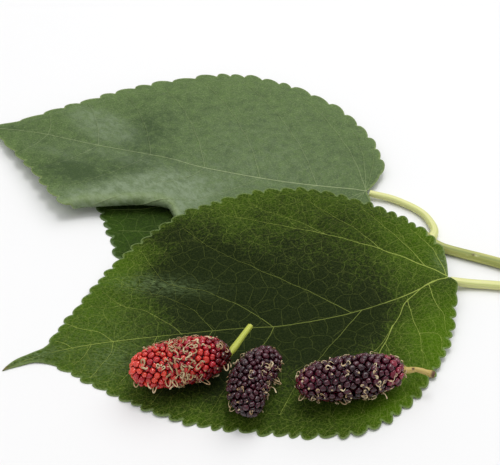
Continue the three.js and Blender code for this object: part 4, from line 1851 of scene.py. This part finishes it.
def ribbon(path: Array, facing: Array, width: Array, flatness: float, sides: int, dry: float) -> Shell:
    """A closed flattened sweep along a path.

    Args:
        path: points along its middle.
        facing: which way its flat face looks.
        width: half its width at each point.
        flatness: its thickness as a share of its width.
        sides: how many sides it has.
        dry: how brown it is at its end.

    Returns:
        The ribbon.
    """
    headings = unit(np.gradient(path, axis=0))
    beside = unit(np.cross(headings, facing))
    over = np.cross(beside, headings)
    angles = ring_angles(sides)
    rings = (
        path[:, None]
        + beside[:, None] * (np.cos(angles) * width[:, None])[..., None]
        + over[:, None] * (np.sin(angles) * width[:, None] * flatness)[..., None]
    )
    vertices = np.vstack([path[:1], rings.reshape(-1, 3), path[-1:]])
    along = np.repeat(np.linspace(0.0, 1.0, len(path)), sides)
    shade = np.concatenate([[1.0], np.clip(dry + 0.6 * (1 - along) ** 3, 0.0, 1.0), [dry]])
    return Shell(vertices, pointed_faces(len(path), sides), {"dry": shade})


# ---- stems


Stations = Sequence[tuple[float, float, float, float]]  # x, y, z and the stem's radius there


@dataclass(frozen=True)
class Stripe:
    """A darker stripe along a stem. Its turn is 0 on top and grows to the near side."""

    turn: float
    width: float
    strength: float
    fade: float = 0.02

    def at(self, turns: Array, shares: Array) -> Array:
        """How dark the stripe is at turns round the stem and shares of its length."""
        ends = ease(-self.fade, self.fade, shares) * (1 - ease(1.0 - self.fade, 1.0 + self.fade, shares))
        return self.strength * bell(wrapped(turns - self.turn), self.width) * ends


@dataclass(frozen=True)
class Scar:
    """A mark on a stem's skin: a sunken slit with a raised border."""

    share: float
    turn: float
    length: float
    width: float
    depth: float = 0.12
    pale: bool = False

    def at(self, turns: Array, along: Array, whole: float) -> tuple[Array, Array]:
        """Marks the stem's skin.

        Args:
            turns: where round the stem places of it are.
            along: how far along the stem they are.
            whole: the stem's length.

        Returns:
            The mark's colour share and how far it moves the skin.
        """
        off = wrapped(turns - self.turn)
        away = np.hypot((along - self.share * whole) / self.length, off / self.width)
        shift = self.depth * (bell(away - 1.1, 0.35) - 1.2 * bell(away, 0.6))
        return np.exp(-((away / 0.9) ** 4)), shift


@dataclass(frozen=True)
class Bud:
    """A pointed bud with overlapping scales."""

    at: Triple
    along: Triple
    length: float
    radius: float
    scales: int = 4
    scale_thickness: float = 0.035
    edge_width: float = 0.035
    rings: int = 40
    sides: int = 20

    def shell(self) -> Shell:
        """The bud's closed skin.

        Returns:
            The skin, with the values that a stem's finish reads.
        """
        lean = unit(np.array(self.along))
        side = unit(np.cross(lean, [0.0, 0.0, 1.0]))
        rise = np.cross(side, lean)
        s = np.linspace(0.0, 1.0, self.rings)
        angle = ring_angles(self.sides)
        full = np.sin(np.pi * np.clip(s, 1e-4, 1 - 1e-4) ** 0.7) ** 0.8 * self.radius
        rank = np.arange(self.scales)[:, None, None]
        off = wrapped(angle - SPIRAL_TURN * rank)
        tips = (rank + 0.6) / (self.scales + 0.6) + 0.2 * bell(off, 0.9)
        over = 1.0 - ease(tips - 0.02, tips + 0.02, s[:, None])
        radius = full[:, None] * (0.88 + self.scale_thickness * over.sum(axis=0))
        vertices = (
            np.array(self.at)
            + (s * self.length)[:, None, None] * lean
            + (radius * np.cos(angle))[..., None] * side
            + (radius * np.sin(angle))[..., None] * rise
        ).reshape(-1, 3)
        edge = bell(s[:, None] - tips - 0.02, self.edge_width).max(axis=0).ravel()
        values = {
            "course": np.column_stack([np.repeat(s * self.length, self.sides), vertices[:, 1:]]),
            "stripe": 0.35 * np.repeat(s, self.sides),
            "scar": 0.55 * edge,
            "cut": np.zeros(len(vertices)),
        }
        return Shell(vertices, tube_faces(self.rings, self.sides), values)


@dataclass
class Stem:
    """A shoot, petiole or stalk: a round sweep with ribs, stripes and cut or joined ends."""

    name: str
    node: str
    slot: str
    stations: Stations
    finish: StemFinish
    channel: float = 0.0
    channel_width: float = 0.5
    ribs: float = 0.02
    rib_counts: tuple[int, ...] = (3, 5, 8)
    stripes: Sequence[Stripe] = ()
    scars: Sequence[Scar] = ()
    buds: Sequence[Bud] = ()
    cut_start: float = 0.0
    cut_end: float = 0.0
    sides: int = 32
    step: float = 0.45
    seed: int = 9

    def build(self) -> Piece:
        """Makes the stem and dresses it.

        Returns:
            The finished piece.
        """
        shell = Shell.joined([self._sweep(), *[bud.shell() for bud in self.buds]])
        shell.vertices[:, 2] = np.maximum(shell.vertices[:, 2], 0.0)
        return shell.to_piece(self.name, self.node, self.slot, self.finish)

    def _sweep(self) -> Shell:
        """The stem's own skin, with sunken cut ends.

        Returns:
            The skin, with the values that its finish reads.
        """
        course = Course([station[:3] for station in self.stations], centripetal=True)
        steps = max(12, round(course.length / self.step))
        shares = np.linspace(0.0, 1.0, steps + 1)
        line = course.at(shares)
        _, side, rise = turning_frames(line)
        angle = ring_angles(self.sides)
        turns = np.tile(angle, (steps + 1, 1))
        along = np.repeat((shares * course.length)[:, None], self.sides, axis=1)
        draw = np.random.default_rng(self.seed)
        waves = sum(
            draw.uniform(0.4, 1.0)
            * np.cos(n * turns + along * draw.uniform(-0.04, 0.04) + draw.uniform(0, 6))
            for n in self.rib_counts
        )
        top = wrapped(turns - np.pi / 2)
        depth = self.ribs * waves - self.channel * bell(top, self.channel_width)
        skin = self._radii(course, shares)[:, None] * (1.0 + depth)
        scar, cut = np.zeros_like(skin), np.zeros_like(skin)
        for mark in self.scars:
            shade, shift = mark.at(top, along, course.length)
            shown = cut if mark.pale else scar
            np.maximum(shown, shade, out=shown)
            skin = skin + shift
        stripe = sum((s.at(top, along / course.length) for s in self.stripes), np.zeros_like(skin))
        across, up = skin * np.cos(angle), skin * np.sin(angle)
        rings = line[:, None] + across[..., None] * side[:, None] + up[..., None] * rise[:, None]
        start = self._end_rings(rings[0], line[0] - line[1], self.cut_start)
        end = self._end_rings(rings[-1], line[-1] - line[-2], self.cut_end)
        whole = np.concatenate([start[::-1], rings, end])
        ends = ((len(start), len(end)), (0, 0))
        places = np.pad(np.stack([along, across, up], axis=-1), (*ends, (0, 0)), mode="edge")
        values = {
            "course": places.reshape(-1, 3),
            "stripe": np.pad(stripe, ends, mode="edge").ravel(),
            "scar": np.pad(scar, ends, mode="edge").ravel(),
            "cut": np.pad(cut, ends, constant_values=1.0).ravel(),
        }
        return Shell(whole.reshape(-1, 3), tube_faces(len(whole), self.sides), values)

    def _end_rings(self, rim: Array, outward: Array, sink: float) -> Array:
        """Rings that close an end, sunk to its pith.

        Args:
            rim: the last ring.
            outward: which way the end faces.
            sink: how far its middle sinks in, as a share of its radius.

        Returns:
            Rings from the rim inwards.
        """
        middle = rim.mean(axis=0)
        size = np.linalg.norm(rim - middle, axis=1).mean()
        way = unit(outward) * size
        steps = ((0.93, 0.12), (0.72, -0.1 * sink), (0.4, -0.8 * sink), (0.12, -sink))
        return np.array([middle + (rim - middle) * share + way * depth for share, depth in steps])

    def _radii(self, course: Course, shares: Array) -> Array:
        """The stem's radius, eased from station to station.

        Args:
            course: the line through the stations.
            shares: shares of its length.

        Returns:
            The radius at each share.
        """
        marks = course.knot_shares
        radii = np.array([station[3] for station in self.stations])
        after = np.clip(np.searchsorted(marks, shares), 1, len(marks) - 1)
        part = ease(0.0, 1.0, (shares - marks[after - 1]) / (marks[after] - marks[after - 1]))
        return radii[after - 1] + (radii[after] - radii[after - 1]) * part


# ---- the studio


def aimed(thing: Piece, at: Triple, aim: Triple) -> None:
    """Puts a lamp or a camera in its place and turns it to what it looks at."""
    thing.location = at
    thing.rotation_euler = (Vector(aim) - Vector(at)).to_track_quat("-Z", "Y").to_euler()


@dataclass(frozen=True)
class SoftBox:
    """A large soft white lamp that hangs over the table and faces its middle."""

    name: str
    at: Triple
    size: tuple[float, float]
    watts: float

    def hang(self) -> None:
        """Adds the lamp to the scene."""
        lamp = bpy.data.lights.new(self.name, "AREA")
        lamp.shape = "RECTANGLE"
        lamp.size, lamp.size_y = self.size
        lamp.energy = self.watts
        aimed(added(self.name, lamp), self.at, (0.0, 0.0, 0.0))


@dataclass
class Studio:
    """The table, the lamps and the camera."""

    table_size: float = 6.0
    table_gap: float = 0.00002
    daylight: float = 0.5
    lamps: tuple[SoftBox, ...] = (
        SoftBox("front_panel", (-0.7, -0.5, 1.9), (1.4, 1.4), 7.0),
        SoftBox("back_panel", (0.7, 0.95, 1.85), (1.9, 1.9), 20.0),
        SoftBox("bright_panel", (0.12, 0.25, 1.85), (0.5, 0.7), 9.0),
    )
    camera_at: Triple = (-0.0132, -0.3071, 0.2590)
    camera_aim: Triple = (-0.0132, 0.0016, 0.0)
    view_angle: float = 20.0

    def build(self) -> None:
        """Sets up everything round the sprig."""
        self._table()
        for lamp in self.lamps:
            lamp.hang()
        self._daylight()
        self._camera()

    def _table(self) -> None:
        """The pale surface that the sprig lies on."""
        half = self.table_size / 2
        mesh = bpy.data.meshes.new("table")
        corners = [(-half, -half, 0.0), (half, -half, 0.0), (half, half, 0.0), (-half, half, 0.0)]
        mesh.from_pydata(corners, [], [(0, 1, 2, 3)])
        mesh.materials.append(TableFinish().material())
        table = added("table", mesh)
        table.location.z = -self.table_gap

    def _daylight(self) -> None:
        """Even white light from all round."""
        world = bpy.data.worlds.new("daylight")
        world.use_nodes = True
        background = world.node_tree.nodes["Background"]
        background.inputs["Color"].default_value = (1.0, 1.0, 1.0, 1.0)
        background.inputs["Strength"].default_value = self.daylight
        bpy.context.scene.world = world
        bpy.context.scene.view_settings.view_transform = "Standard"

    def _camera(self) -> None:
        """The camera over the near side of the table."""
        lens = bpy.data.cameras.new("camera")
        lens.sensor_fit = "HORIZONTAL"
        lens.angle = math.radians(self.view_angle)
        lens.clip_start = 0.01
        camera = added("camera", lens)
        aimed(camera, self.camera_at, self.camera_aim)
        bpy.context.scene.camera = camera


# ---- the sprig


GREEN_LEAF = LeafFinish(
    "green_leaf",
    deep="152009", fresh_and_lit="3f6000", vein="a4b258", under="7d9560", rim="8da068", painted_sheen="6c8054",
    gloss=0.03, net=0.4, sheen_streakiness=1.0, grain=0.3, streak=(0.6, 2.0),
)
# The back leaf's greyed greens are painted sheen: its glare is laid into its colours.
SHEEN_GREYED_LEAF = LeafFinish(
    "sheen_greyed_leaf",
    deep="30461b", fresh_and_lit="5a7438", vein="a5b083", under="8fa570", rim="93a565", painted_sheen="78886a",
    gloss=0.25, net=0.25, sheen_streakiness=0.55, grain=0.45, streak=(0.3, 0.45), mottle=1.5,
)
SHADED_LEAF = LeafFinish(
    "shaded_leaf",
    deep="1a2610", fresh_and_lit="365310", vein="76884a", under="7d9560", rim="7f9568", painted_sheen="5c6e4a",
)
OLIVE_SHOOT = StemFinish(
    "olive_shoot", light="bcbd6c", stripe="6c7f30", scar="57431f", pith="cfcfa0", stripes=0.45, dots=0.3
)
PALE_PETIOLE = StemFinish(
    "pale_petiole", light="dcdc98", stripe="b5bf6a", scar="a08a4c", pith="d9dcb0", stripes=0.3
)
FRESH_STALK = StemFinish(
    "fresh_stalk", light="b9bf4c", stripe="8f9f35", scar="6f6a2c", pith="cfd08a", stripes=0.35
)
TAN_STALK = StemFinish(
    "tan_stalk", light="c2a961", stripe="a08a3f", scar="5a3a22", pith="4a3326", stripes=0.3
)
RED_FLESH = FleshFinish("red_flesh", pale="e24a34", red="a60a28", dark="22050e", seam_shade="8c141c")
DARK_FLESH = FleshFinish("dark_flesh", pale="a8183a", red="4a0e24", dark="17070f", seam_shade="0c0306", juice=0.15)
TAN_STYLES = StyleFinish("tan_styles", pale="e0cda6", dry="9a7b52")


@dataclass(frozen=True)
class LeafSet:
    """The sprig's three leaves: their flat patterns, and how each lies and is dressed."""

    front_pattern: Pattern = Pattern(
        near=(
            (0, 0), (-1.4, 3.4), (2.6, 10.5), (8.2, 20.8), (17, 30.9), (26.4, 38.3), (37.8, 43.3), (49, 42),
            (65.6, 35.8), (82.8, 27), (98, 12), (105.6, 3.4), (111.5, -0.4), (116.4, -0.5), (120.8, 0),
        ),
        far=(
            (0, 0), (-1.6, -5.2), (-1.9, -9.8), (1.5, -21), (10, -33.5), (24, -43.5), (40, -47), (54, -46),
            (65.5, -42.8), (77, -37), (89, -27), (100.6, -15), (107.8, -6.6), (112.5, -4.2), (117.3, -2.8),
            (120.8, 0),
        ),
        midrib=(
            (0, 0), (10, 2.6), (29, 4.6), (47, 3.9), (61, 1.4), (82, -1.5), (98.6, -2.9), (113, -2.2),
            (120.8, 0),
        ),
        teeth=Teeth(36, 0.05, 0.91, 1.5, base_gain=0.25),
    )
    front_veins: tuple[Vein, ...] = (
        Vein(
            ((0, 0.2), (6.8, 1.8), (13.5, 5.1), (17.4, 9.6), (24.3, 17.9), (29.3, 24.7), (37.5, 38.5)),
            0.46, 0.12,
        ),
        Vein(((26.1, 4.6), (33.9, 11), (42.4, 18.2), (51, 26), (57, 33.5)), 0.28, 0.11),
        Vein(((6.3, 1.8), (6.8, 6.5), (6.7, 10.2), (6.2, 13.1), (7.4, 17.5), (7.5, 20)), 0.26, 0.1),
        Vein(((13.4, 5.3), (14.4, 12.4), (14.9, 17.9), (16.6, 25.0), (18.0, 28.5)), 0.26, 0.1),
        Vein(((14.8, 17.6), (12, 18.2), (10, 19.1), (10.1, 21.7), (11.1, 23.8)), 0.2, 0.12, kink=0.0),
        Vein(((24.2, 18.1), (24.2, 20.9), (26, 25)), 0.2, 0.12, kink=0.0),
        Vein(((20.2, 12.4), (24.6, 17.4), (31, 22), (38, 29.5), (45, 37.5)), 0.2, 0.1),
        Vein(((50, 3.7), (53, 7.7), (60, 14), (68, 22), (73, 28)), 0.26, 0.1),
        Vein(((66, 0.9), (70, 5.6), (77, 12), (83, 18), (86.5, 21.5)), 0.22, 0.1),
        Vein(((80.3, -1.2), (83, 3), (88.5, 8.6), (93, 12.6)), 0.18, 0.1),
        Vein(((91.6, -2.4), (93.4, 2.2), (97.2, 6.4), (99.6, 8.4)), 0.17, 0.1),
        Vein(((97.4, -2.7), (99.7, 0.9), (103, 3)), 0.16, 0.1),
        Vein(((0, -0.4), (4, -5), (12, -13), (24, -22.5), (38, -31.5), (52, -40.5)), 0.46, 0.12),
        Vein(((0.2, -0.8), (-0.2, -5), (0.4, -12), (3.2, -20.5)), 0.33, 0.1),
        Vein(((4.4, -5.4), (6.4, -13), (9.2, -21), (13, -31.5)), 0.26, 0.1),
        Vein(((14, -14.6), (18, -24), (23, -32), (28, -40.5)), 0.24, 0.1),
        Vein(((27, -24.5), (33, -32), (40, -38.5), (44, -43.5)), 0.2, 0.1),
        Vein(((29, 4.4), (37, -5), (48, -16), (58, -27), (64.5, -38)), 0.29, 0.11),
        Vein(((50, 3.7), (55.6, -4.4), (64.6, -13.4), (73.7, -19.6), (77.5, -33.5)), 0.29, 0.11),
        Vein(((73.9, -0.4), (75.8, -4.3), (81.7, -11.5), (87, -15), (90.6, -21.4)), 0.26, 0.1),
        Vein(((87, -15), (91, -15.3), (94.5, -17.2)), 0.15, 0.1),
        Vein(((65.6, 0.8), (68.9, -7.6), (75, -14.4), (83, -20.2), (86.4, -25.4)), 0.17, 0.1),
        Vein(((91.6, -2.4), (94.5, -6.7), (99.9, -10.2), (101.6, -12.2)), 0.17, 0.1),
        Vein(((102.3, -2.8), (103.9, -5.2), (106, -6.8)), 0.15, 0.1),
    )
    back_pattern: Pattern = Pattern(
        near=(
            (0, 0), (-2.2, 6), (2, 15), (10, 24.5), (22, 31), (34, 32), (45, 29), (54, 26.4), (62, 27.2),
            (71, 30), (78, 31.6), (84, 29.6), (92.8, 21.4), (102.9, 12), (111, 5.4), (116, 2), (120.5, 0),
        ),
        far=(
            (0, 0), (-2.4, -7), (-1, -15), (7, -28), (19, -38.5), (32, -44), (45, -46), (58.8, -43.6),
            (79, -32.2), (91.2, -22), (102, -12.4), (109.5, -6.2), (115.7, -2.9), (120.5, 0),
        ),
        midrib=((0, 0), (22, 2.4), (45, 3.2), (65, 2.6), (86, 1.5), (105, -0.4), (120.5, 0)),
        teeth=Teeth(23, 0.05, 0.93, 1.6, seed=9),
    )
    back_roll: Roll = Roll(
        1.4, ((44, 36), (49, 26.6), (53, 21.6), (62, 23), (71, 26.1), (77, 28.2), (82, 31.5), (88, 40))
    )
    lower_pattern: Pattern = Pattern(
        near=(
            (0, 0), (-1.6, 5), (1, 13), (8, 24), (20, 33), (33, 35.6), (42, 33.4), (50.8, 29.6),
            (58.3, 25.4), (69.1, 20.2), (80, 12.6), (88, 5), (93, 2), (98, 0),
        ),
        far=(
            (0, 0), (-1.6, -5), (1, -13), (8, -24), (20, -32.6), (33, -35), (46, -32), (60, -24.6),
            (72, -17.4), (82, -9.6), (89, -3.8), (98, 0),
        ),
        midrib=((0, 0), (20, 0.8), (45, 0.4), (70, -0.6), (98, 0)),
        teeth=Teeth(27, 0.05, 0.92, 1.5, seed=2),
    )

    def front(self) -> Leaf:
        """The large quilted leaf that carries the berries.

        Returns:
            The leaf.
        """
        return Leaf(
            "front_blade", "front_leaf", "front_blade", (53.5, -23.1), -164.7, self.front_pattern,
            FrontLie(), self.front_veins, GREEN_LEAF, quilt=0.75, fresh_and_lit_base=0.22,
            vein_show=(0.8, 0.9, 0.26),
            # Tone patches: the lighter ones on the lobes are partly the blade's own colour and partly
            # painted light; the dark ones are painted shade and painted reflection.
            fresh_and_lit_at=(
                Patch(8, 18, 11, 11, 0.9), Patch(30, 38, 9, 6, 0.5), Patch(3, -14, 9, 9, 0.5),
                Patch(94, -6, 13, 13, 0.3), Patch(82, -30, 9, 6, 0.25), Patch(40, 9, 24, 8, -0.6),
                Patch(66, -20, 9, 7, -0.7), Patch(56, -5, 18, 12, -0.3), Patch(70, -37, 10, 5, -0.4),
                Patch(75, 14, 12, 8, -0.3), Patch(48, 38, 12, 5, -0.15), Patch(24, -14, 26, 20, -0.15),
            ),
            # Painted sheen: grey-green glare on crinkled places, on the tip and by the base.
            painted_sheen_at=(
                Patch(76, -19, 9, 2.2, 0.48, -25.0), Patch(94, 4.5, 4.5, 3.6, 0.35, 20.0),
                Patch(97, -3, 12, 14, 0.15), Patch(114, -2.5, 5, 3, 0.75),
                Patch(-0.5, -5.5, 1.6, 3.2, 0.7),
            ),
            dry_at=(Patch(120.9, 0, 1.1, 1.2, 1.0),),
        )

    def back(self) -> Leaf:
        """The smooth leaf that bridges the lower one.

        Returns:
            The leaf.
        """
        veins = [rib.vein(self.back_pattern) for rib in SIDE_RIBS]
        return Leaf(
            "back_blade", "back_leaf", "back_blade", (34, 16), 165.1, self.back_pattern, BackLie(),
            veins, SHEEN_GREYED_LEAF, quilt=0.3, roll=self.back_roll, fresh_and_lit_base=0.4, seed=6,
            spacing=0.66, net_spacing=5.0, vein_show=(0.7, 0.3, 0.1), groove=0.5,
            # Tone patches: darker ones, painted shade in the blade's troughs.
            fresh_and_lit_at=(
                Patch(85, 16.5, 9, 4.5, -0.6, -10.0), Patch(70, -8, 6, 11, -0.3),
                Patch(66, 9, 8, 4, -0.25),
            ),
            # Painted sheen: glare over this blade and along its roll.
            painted_sheen_at=(
                Patch(84.5, -8.5, 9.5, 4.6, 0.6, -27.0, 2.0), Patch(62, 22, 16, 6.5, 0.95, 34.0, 2.0),
                Patch(62, 27, 24, 4, 0.6, 10.0), Patch(76, 5.5, 12, 2.4, 0.3, -8.0),
                Patch(92, 9, 7, 1.6, 0.25, -15.0), Patch(34, 2, 20, 22, 0.25),
            ),
        )

    def lower(self) -> Leaf:
        """The shaded leaf that lies lowest.

        Returns:
            The leaf.
        """
        veins = [rib.vein(self.lower_pattern) for rib in SIDE_RIBS]
        return Leaf(
            "lower_blade", "lower_leaf", "lower_blade", (20, -24), 135.0, self.lower_pattern,
            LowerLie(), veins, SHADED_LEAF, quilt=0.12, spacing=0.8, seed=7, net_spacing=4.6,
        )

    def build(self) -> list[Piece]:
        """Makes the leaves, the lowest first."""
        return [leaf.build() for leaf in (self.lower(), self.back(), self.front())]


@dataclass(frozen=True)
class Wood:
    """The shoot, the leaves' petioles and the berries' stalks, each on the line through it."""

    shoot_line: Stations = (
        (108, -39, 1.9, 1.75), (98, -32.5, 1.75, 1.65), (90.5, -27.4, 1.75, 1.75),
        (87.5, -25.2, 2.05, 2.05), (84, -22.8, 1.7, 1.6), (69, -15, 1.5, 1.45),
        (54.3, -8.7, 1.5, 1.35), (50.5, -6.6, 1.7, 1.6), (47, -4.4, 1.5, 1.25),
        (43.4, -1.6, 1.5, 1.4), (41, 0.6, 1.2, 0.85), (39.4, 2.2, 1.2, 0.95), (37.2, 4.4, 1.25, 0.25),
    )
    buds: tuple[Bud, ...] = (
        Bud((85.6, -24.9, 2.5), (-0.93, 0.24, 0.28), 4.0, 0.95),
        Bud((50.3, -5.3, 2.3), (-0.42, 0.85, 0.3), 3.2, 0.8),
    )
    front_line: Stations = (
        (87.2, -26.0, 1.9, 1.7), (84.6, -27.0, 1.65, 1.6), (81, -26.6, 1.4, 1.3), (67.6, -24, 1.35, 1.2),
        (59.5, -23.2, 1.5, 1.2), (54.3, -23.2, 2.45, 1.1),
    )
    back_line: Stations = (
        (50.5, -6.8, 1.6, 1.0), (51.0, -4.7, 1.65, 1.4), (52.2, -0.8, 1.3, 1.15), (49.8, 6.8, 1.2, 1.05),
        (42.2, 13.2, 1.3, 1.05), (35, 15.7, 1.75, 1.0),
    )
    lower_line: Stations = (
        (43.4, -1.9, 1.4, 0.95), (43, -3.8, 1.3, 1.15), (41.4, -8.6, 1.1, 1.0), (37.2, -19, 1.0, 0.9),
        (30.6, -27.6, 0.9, 0.85), (24.6, -28.2, 1.0, 0.85), (20.6, -24.7, 1.15, 0.75),
    )
    channel: float = 0.16
    grain: tuple[Stripe, ...] = (
        Stripe(0.75, 0.3, 0.55), Stripe(-0.75, 0.3, 0.55), Stripe(np.pi, 0.6, 0.4)
    )
    red_line: Stations = (
        (-5.4, -57.4, 8.2, 0.8), (-4.1, -55.3, 8.4, 0.95), (-1.9, -51.6, 9.0, 0.8), (0.1, -48.0, 9.2, 0.78)
    )
    dark_line: Stations = (
        (37.6, -61.9, 7.6, 0.9), (39.4, -61.8, 7.4, 0.72), (41.2, -61.6, 7.4, 0.6),
        (43.6, -62.1, 7.0, 0.66), (44.9, -62.6, 6.9, 0.85), (45.6, -62.8, 6.8, 0.8),
    )

    def shoot(self) -> Stem:
        """The green shoot, cut at its thick end.

        Returns:
            The stem.
        """
        return Stem(
            "green_shoot", "shoot", "shoot_skin", self.shoot_line, OLIVE_SHOOT, cut_start=0.3,
            stripes=(
                Stripe(0.5, 0.3, 0.8), Stripe(-0.9, 0.22, 0.6), Stripe(2.4, 0.4, 0.7), Stripe(-2.3, 0.3, 0.6)
            ),
            scars=(Scar(0.64, 0.6, 0.55, 0.3, 0.06), Scar(0.629, 0.6, 0.8, 0.2, 0.1, pale=True)),
            buds=self.buds,
        )

    def petioles(self) -> list[Stem]:
        """The stalks of the three leaves.

        Returns:
            Their stems.
        """
        lines = (("front", self.front_line, 9), ("back", self.back_line, 10), ("lower", self.lower_line, 11))
        return [
            Stem(
                f"{leaf}_leaf_petiole", f"{leaf}_petiole", "petiole_skin", line, PALE_PETIOLE,
                self.channel, stripes=self.grain, seed=seed,
            )
            for leaf, line, seed in lines
        ]

    def stalks(self) -> list[Stem]:
        """The short stalks that two of the berries were picked with.

        Returns:
            Their stems.
        """
        return [
            Stem(
                "red_stalk", "red_berry_stalk", "berry_stalk", self.red_line, FRESH_STALK,
                step=0.2, sides=28, cut_end=0.35, ribs=0.03,
                stripes=(Stripe(0.9, 0.3, 0.5), Stripe(-1.2, 0.3, 0.5)),
            ),
            Stem(
                "dark_stalk", "dark_berry_stalk", "berry_stalk", self.dark_line, TAN_STALK,
                step=0.16, sides=28, cut_end=0.3, ribs=0.08,
                stripes=(Stripe(0.6, 0.3, 0.5),),
                scars=(
                    Scar(0.33, -0.5, 0.45, 0.6, 0.14), Scar(0.62, 1.4, 0.4, 0.4, 0.05),
                    Scar(0.97, 0.0, 0.7, 4.0, 0.03),
                ),
            ),
        ]

    def build(self) -> list[Piece]:
        """Makes every stem of the sprig."""
        return [stem.build() for stem in (self.shoot(), *self.petioles(), *self.stalks())]


@dataclass(frozen=True)
class BerryTrio:
    """The three berries that rest on the front leaf, each on the line through it."""

    red_axis: Points = ((-30.0, -62.8, 8.0), (-17.5, -60.0, 8.2), (-4.8, -55.8, 8.1))
    red_radius: float = 6.05
    curved_axis: Points = (
        (1.6, -75.4, 6.6), (-0.6, -70.0, 6.9), (0.2, -64.6, 7.2), (3.4, -59.6, 7.4), (6.0, -55.4, 7.2)
    )
    curved_radius: float = 5.45
    dark_axis: Points = ((11.0, -66.8, 7.5), (23.0, -65.2, 7.8), (38.2, -61.8, 7.7))
    dark_radius: float = 5.8

    def red(self) -> Berry:
        """The half ripe berry.

        Returns:
            The berry.
        """
        ripeness = Ripeness(0.04, 0.3, 0.7, under=0.25, scatter=0.14, patches=((1.0, 0.13, 0.6),))
        styles = Styles(108, 24, 12, (1.6, 4.6), (2.0, 7.0), (0.1, 0.9), width=0.18, thick_at=0.45)
        return Berry(
            "red_drupelets", "red_berry", "red_drupelets", self.red_axis, self.red_radius, 1.65,
            ripeness, RED_FLESH, styles, TAN_STYLES, seed=11,
        )

    def curved(self) -> Berry:
        """The bent ripe berry.

        Returns:
            The berry.
        """
        styles = Styles(72, 14, 4, (1.2, 3.2), (1.5, 7.0), (0.0, 0.9), width=0.11, lift=0.4)
        return Berry(
            "curved_drupelets", "curved_berry", "dark_drupelets", self.curved_axis, self.curved_radius, 1.58,
            Ripeness(0.8, 0.76, 0.62, scatter=0.09), DARK_FLESH, styles, TAN_STYLES, seed=23,
        )

    def dark(self) -> Berry:
        """The straight, almost ripe berry.

        Returns:
            The berry.
        """
        ripeness = Ripeness(0.55, 0.78, 0.52, patches=((0.88, 0.08, -0.4), (0.03, 0.08, -0.3)))
        styles = Styles(112, 16, 5, (1.3, 3.4), (1.5, 7.0), (-0.2, 0.7), width=0.13)
        return Berry(
            "dark_drupelets", "dark_berry", "dark_drupelets", self.dark_axis, self.dark_radius, 1.86,
            ripeness, DARK_FLESH, styles, TAN_STYLES, seed=37,
        )

    def build(self) -> list[Piece]:
        """Makes the flesh and the styles of every berry."""
        return [piece for berry in (self.red(), self.curved(), self.dark()) for piece in berry.build()]


def main() -> None:
    """Dresses the whole sprig and reports each piece."""
    logging.basicConfig(level=logging.INFO, format="%(name)s: %(message)s")
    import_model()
    Studio().build()
    for part in (LeafSet(), Wood(), BerryTrio()):
        for piece in part.build():
            LOG.info("%s: %d faces", piece.name, len(piece.data.polygons))
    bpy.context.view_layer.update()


if __name__ == "__main__":
    main()
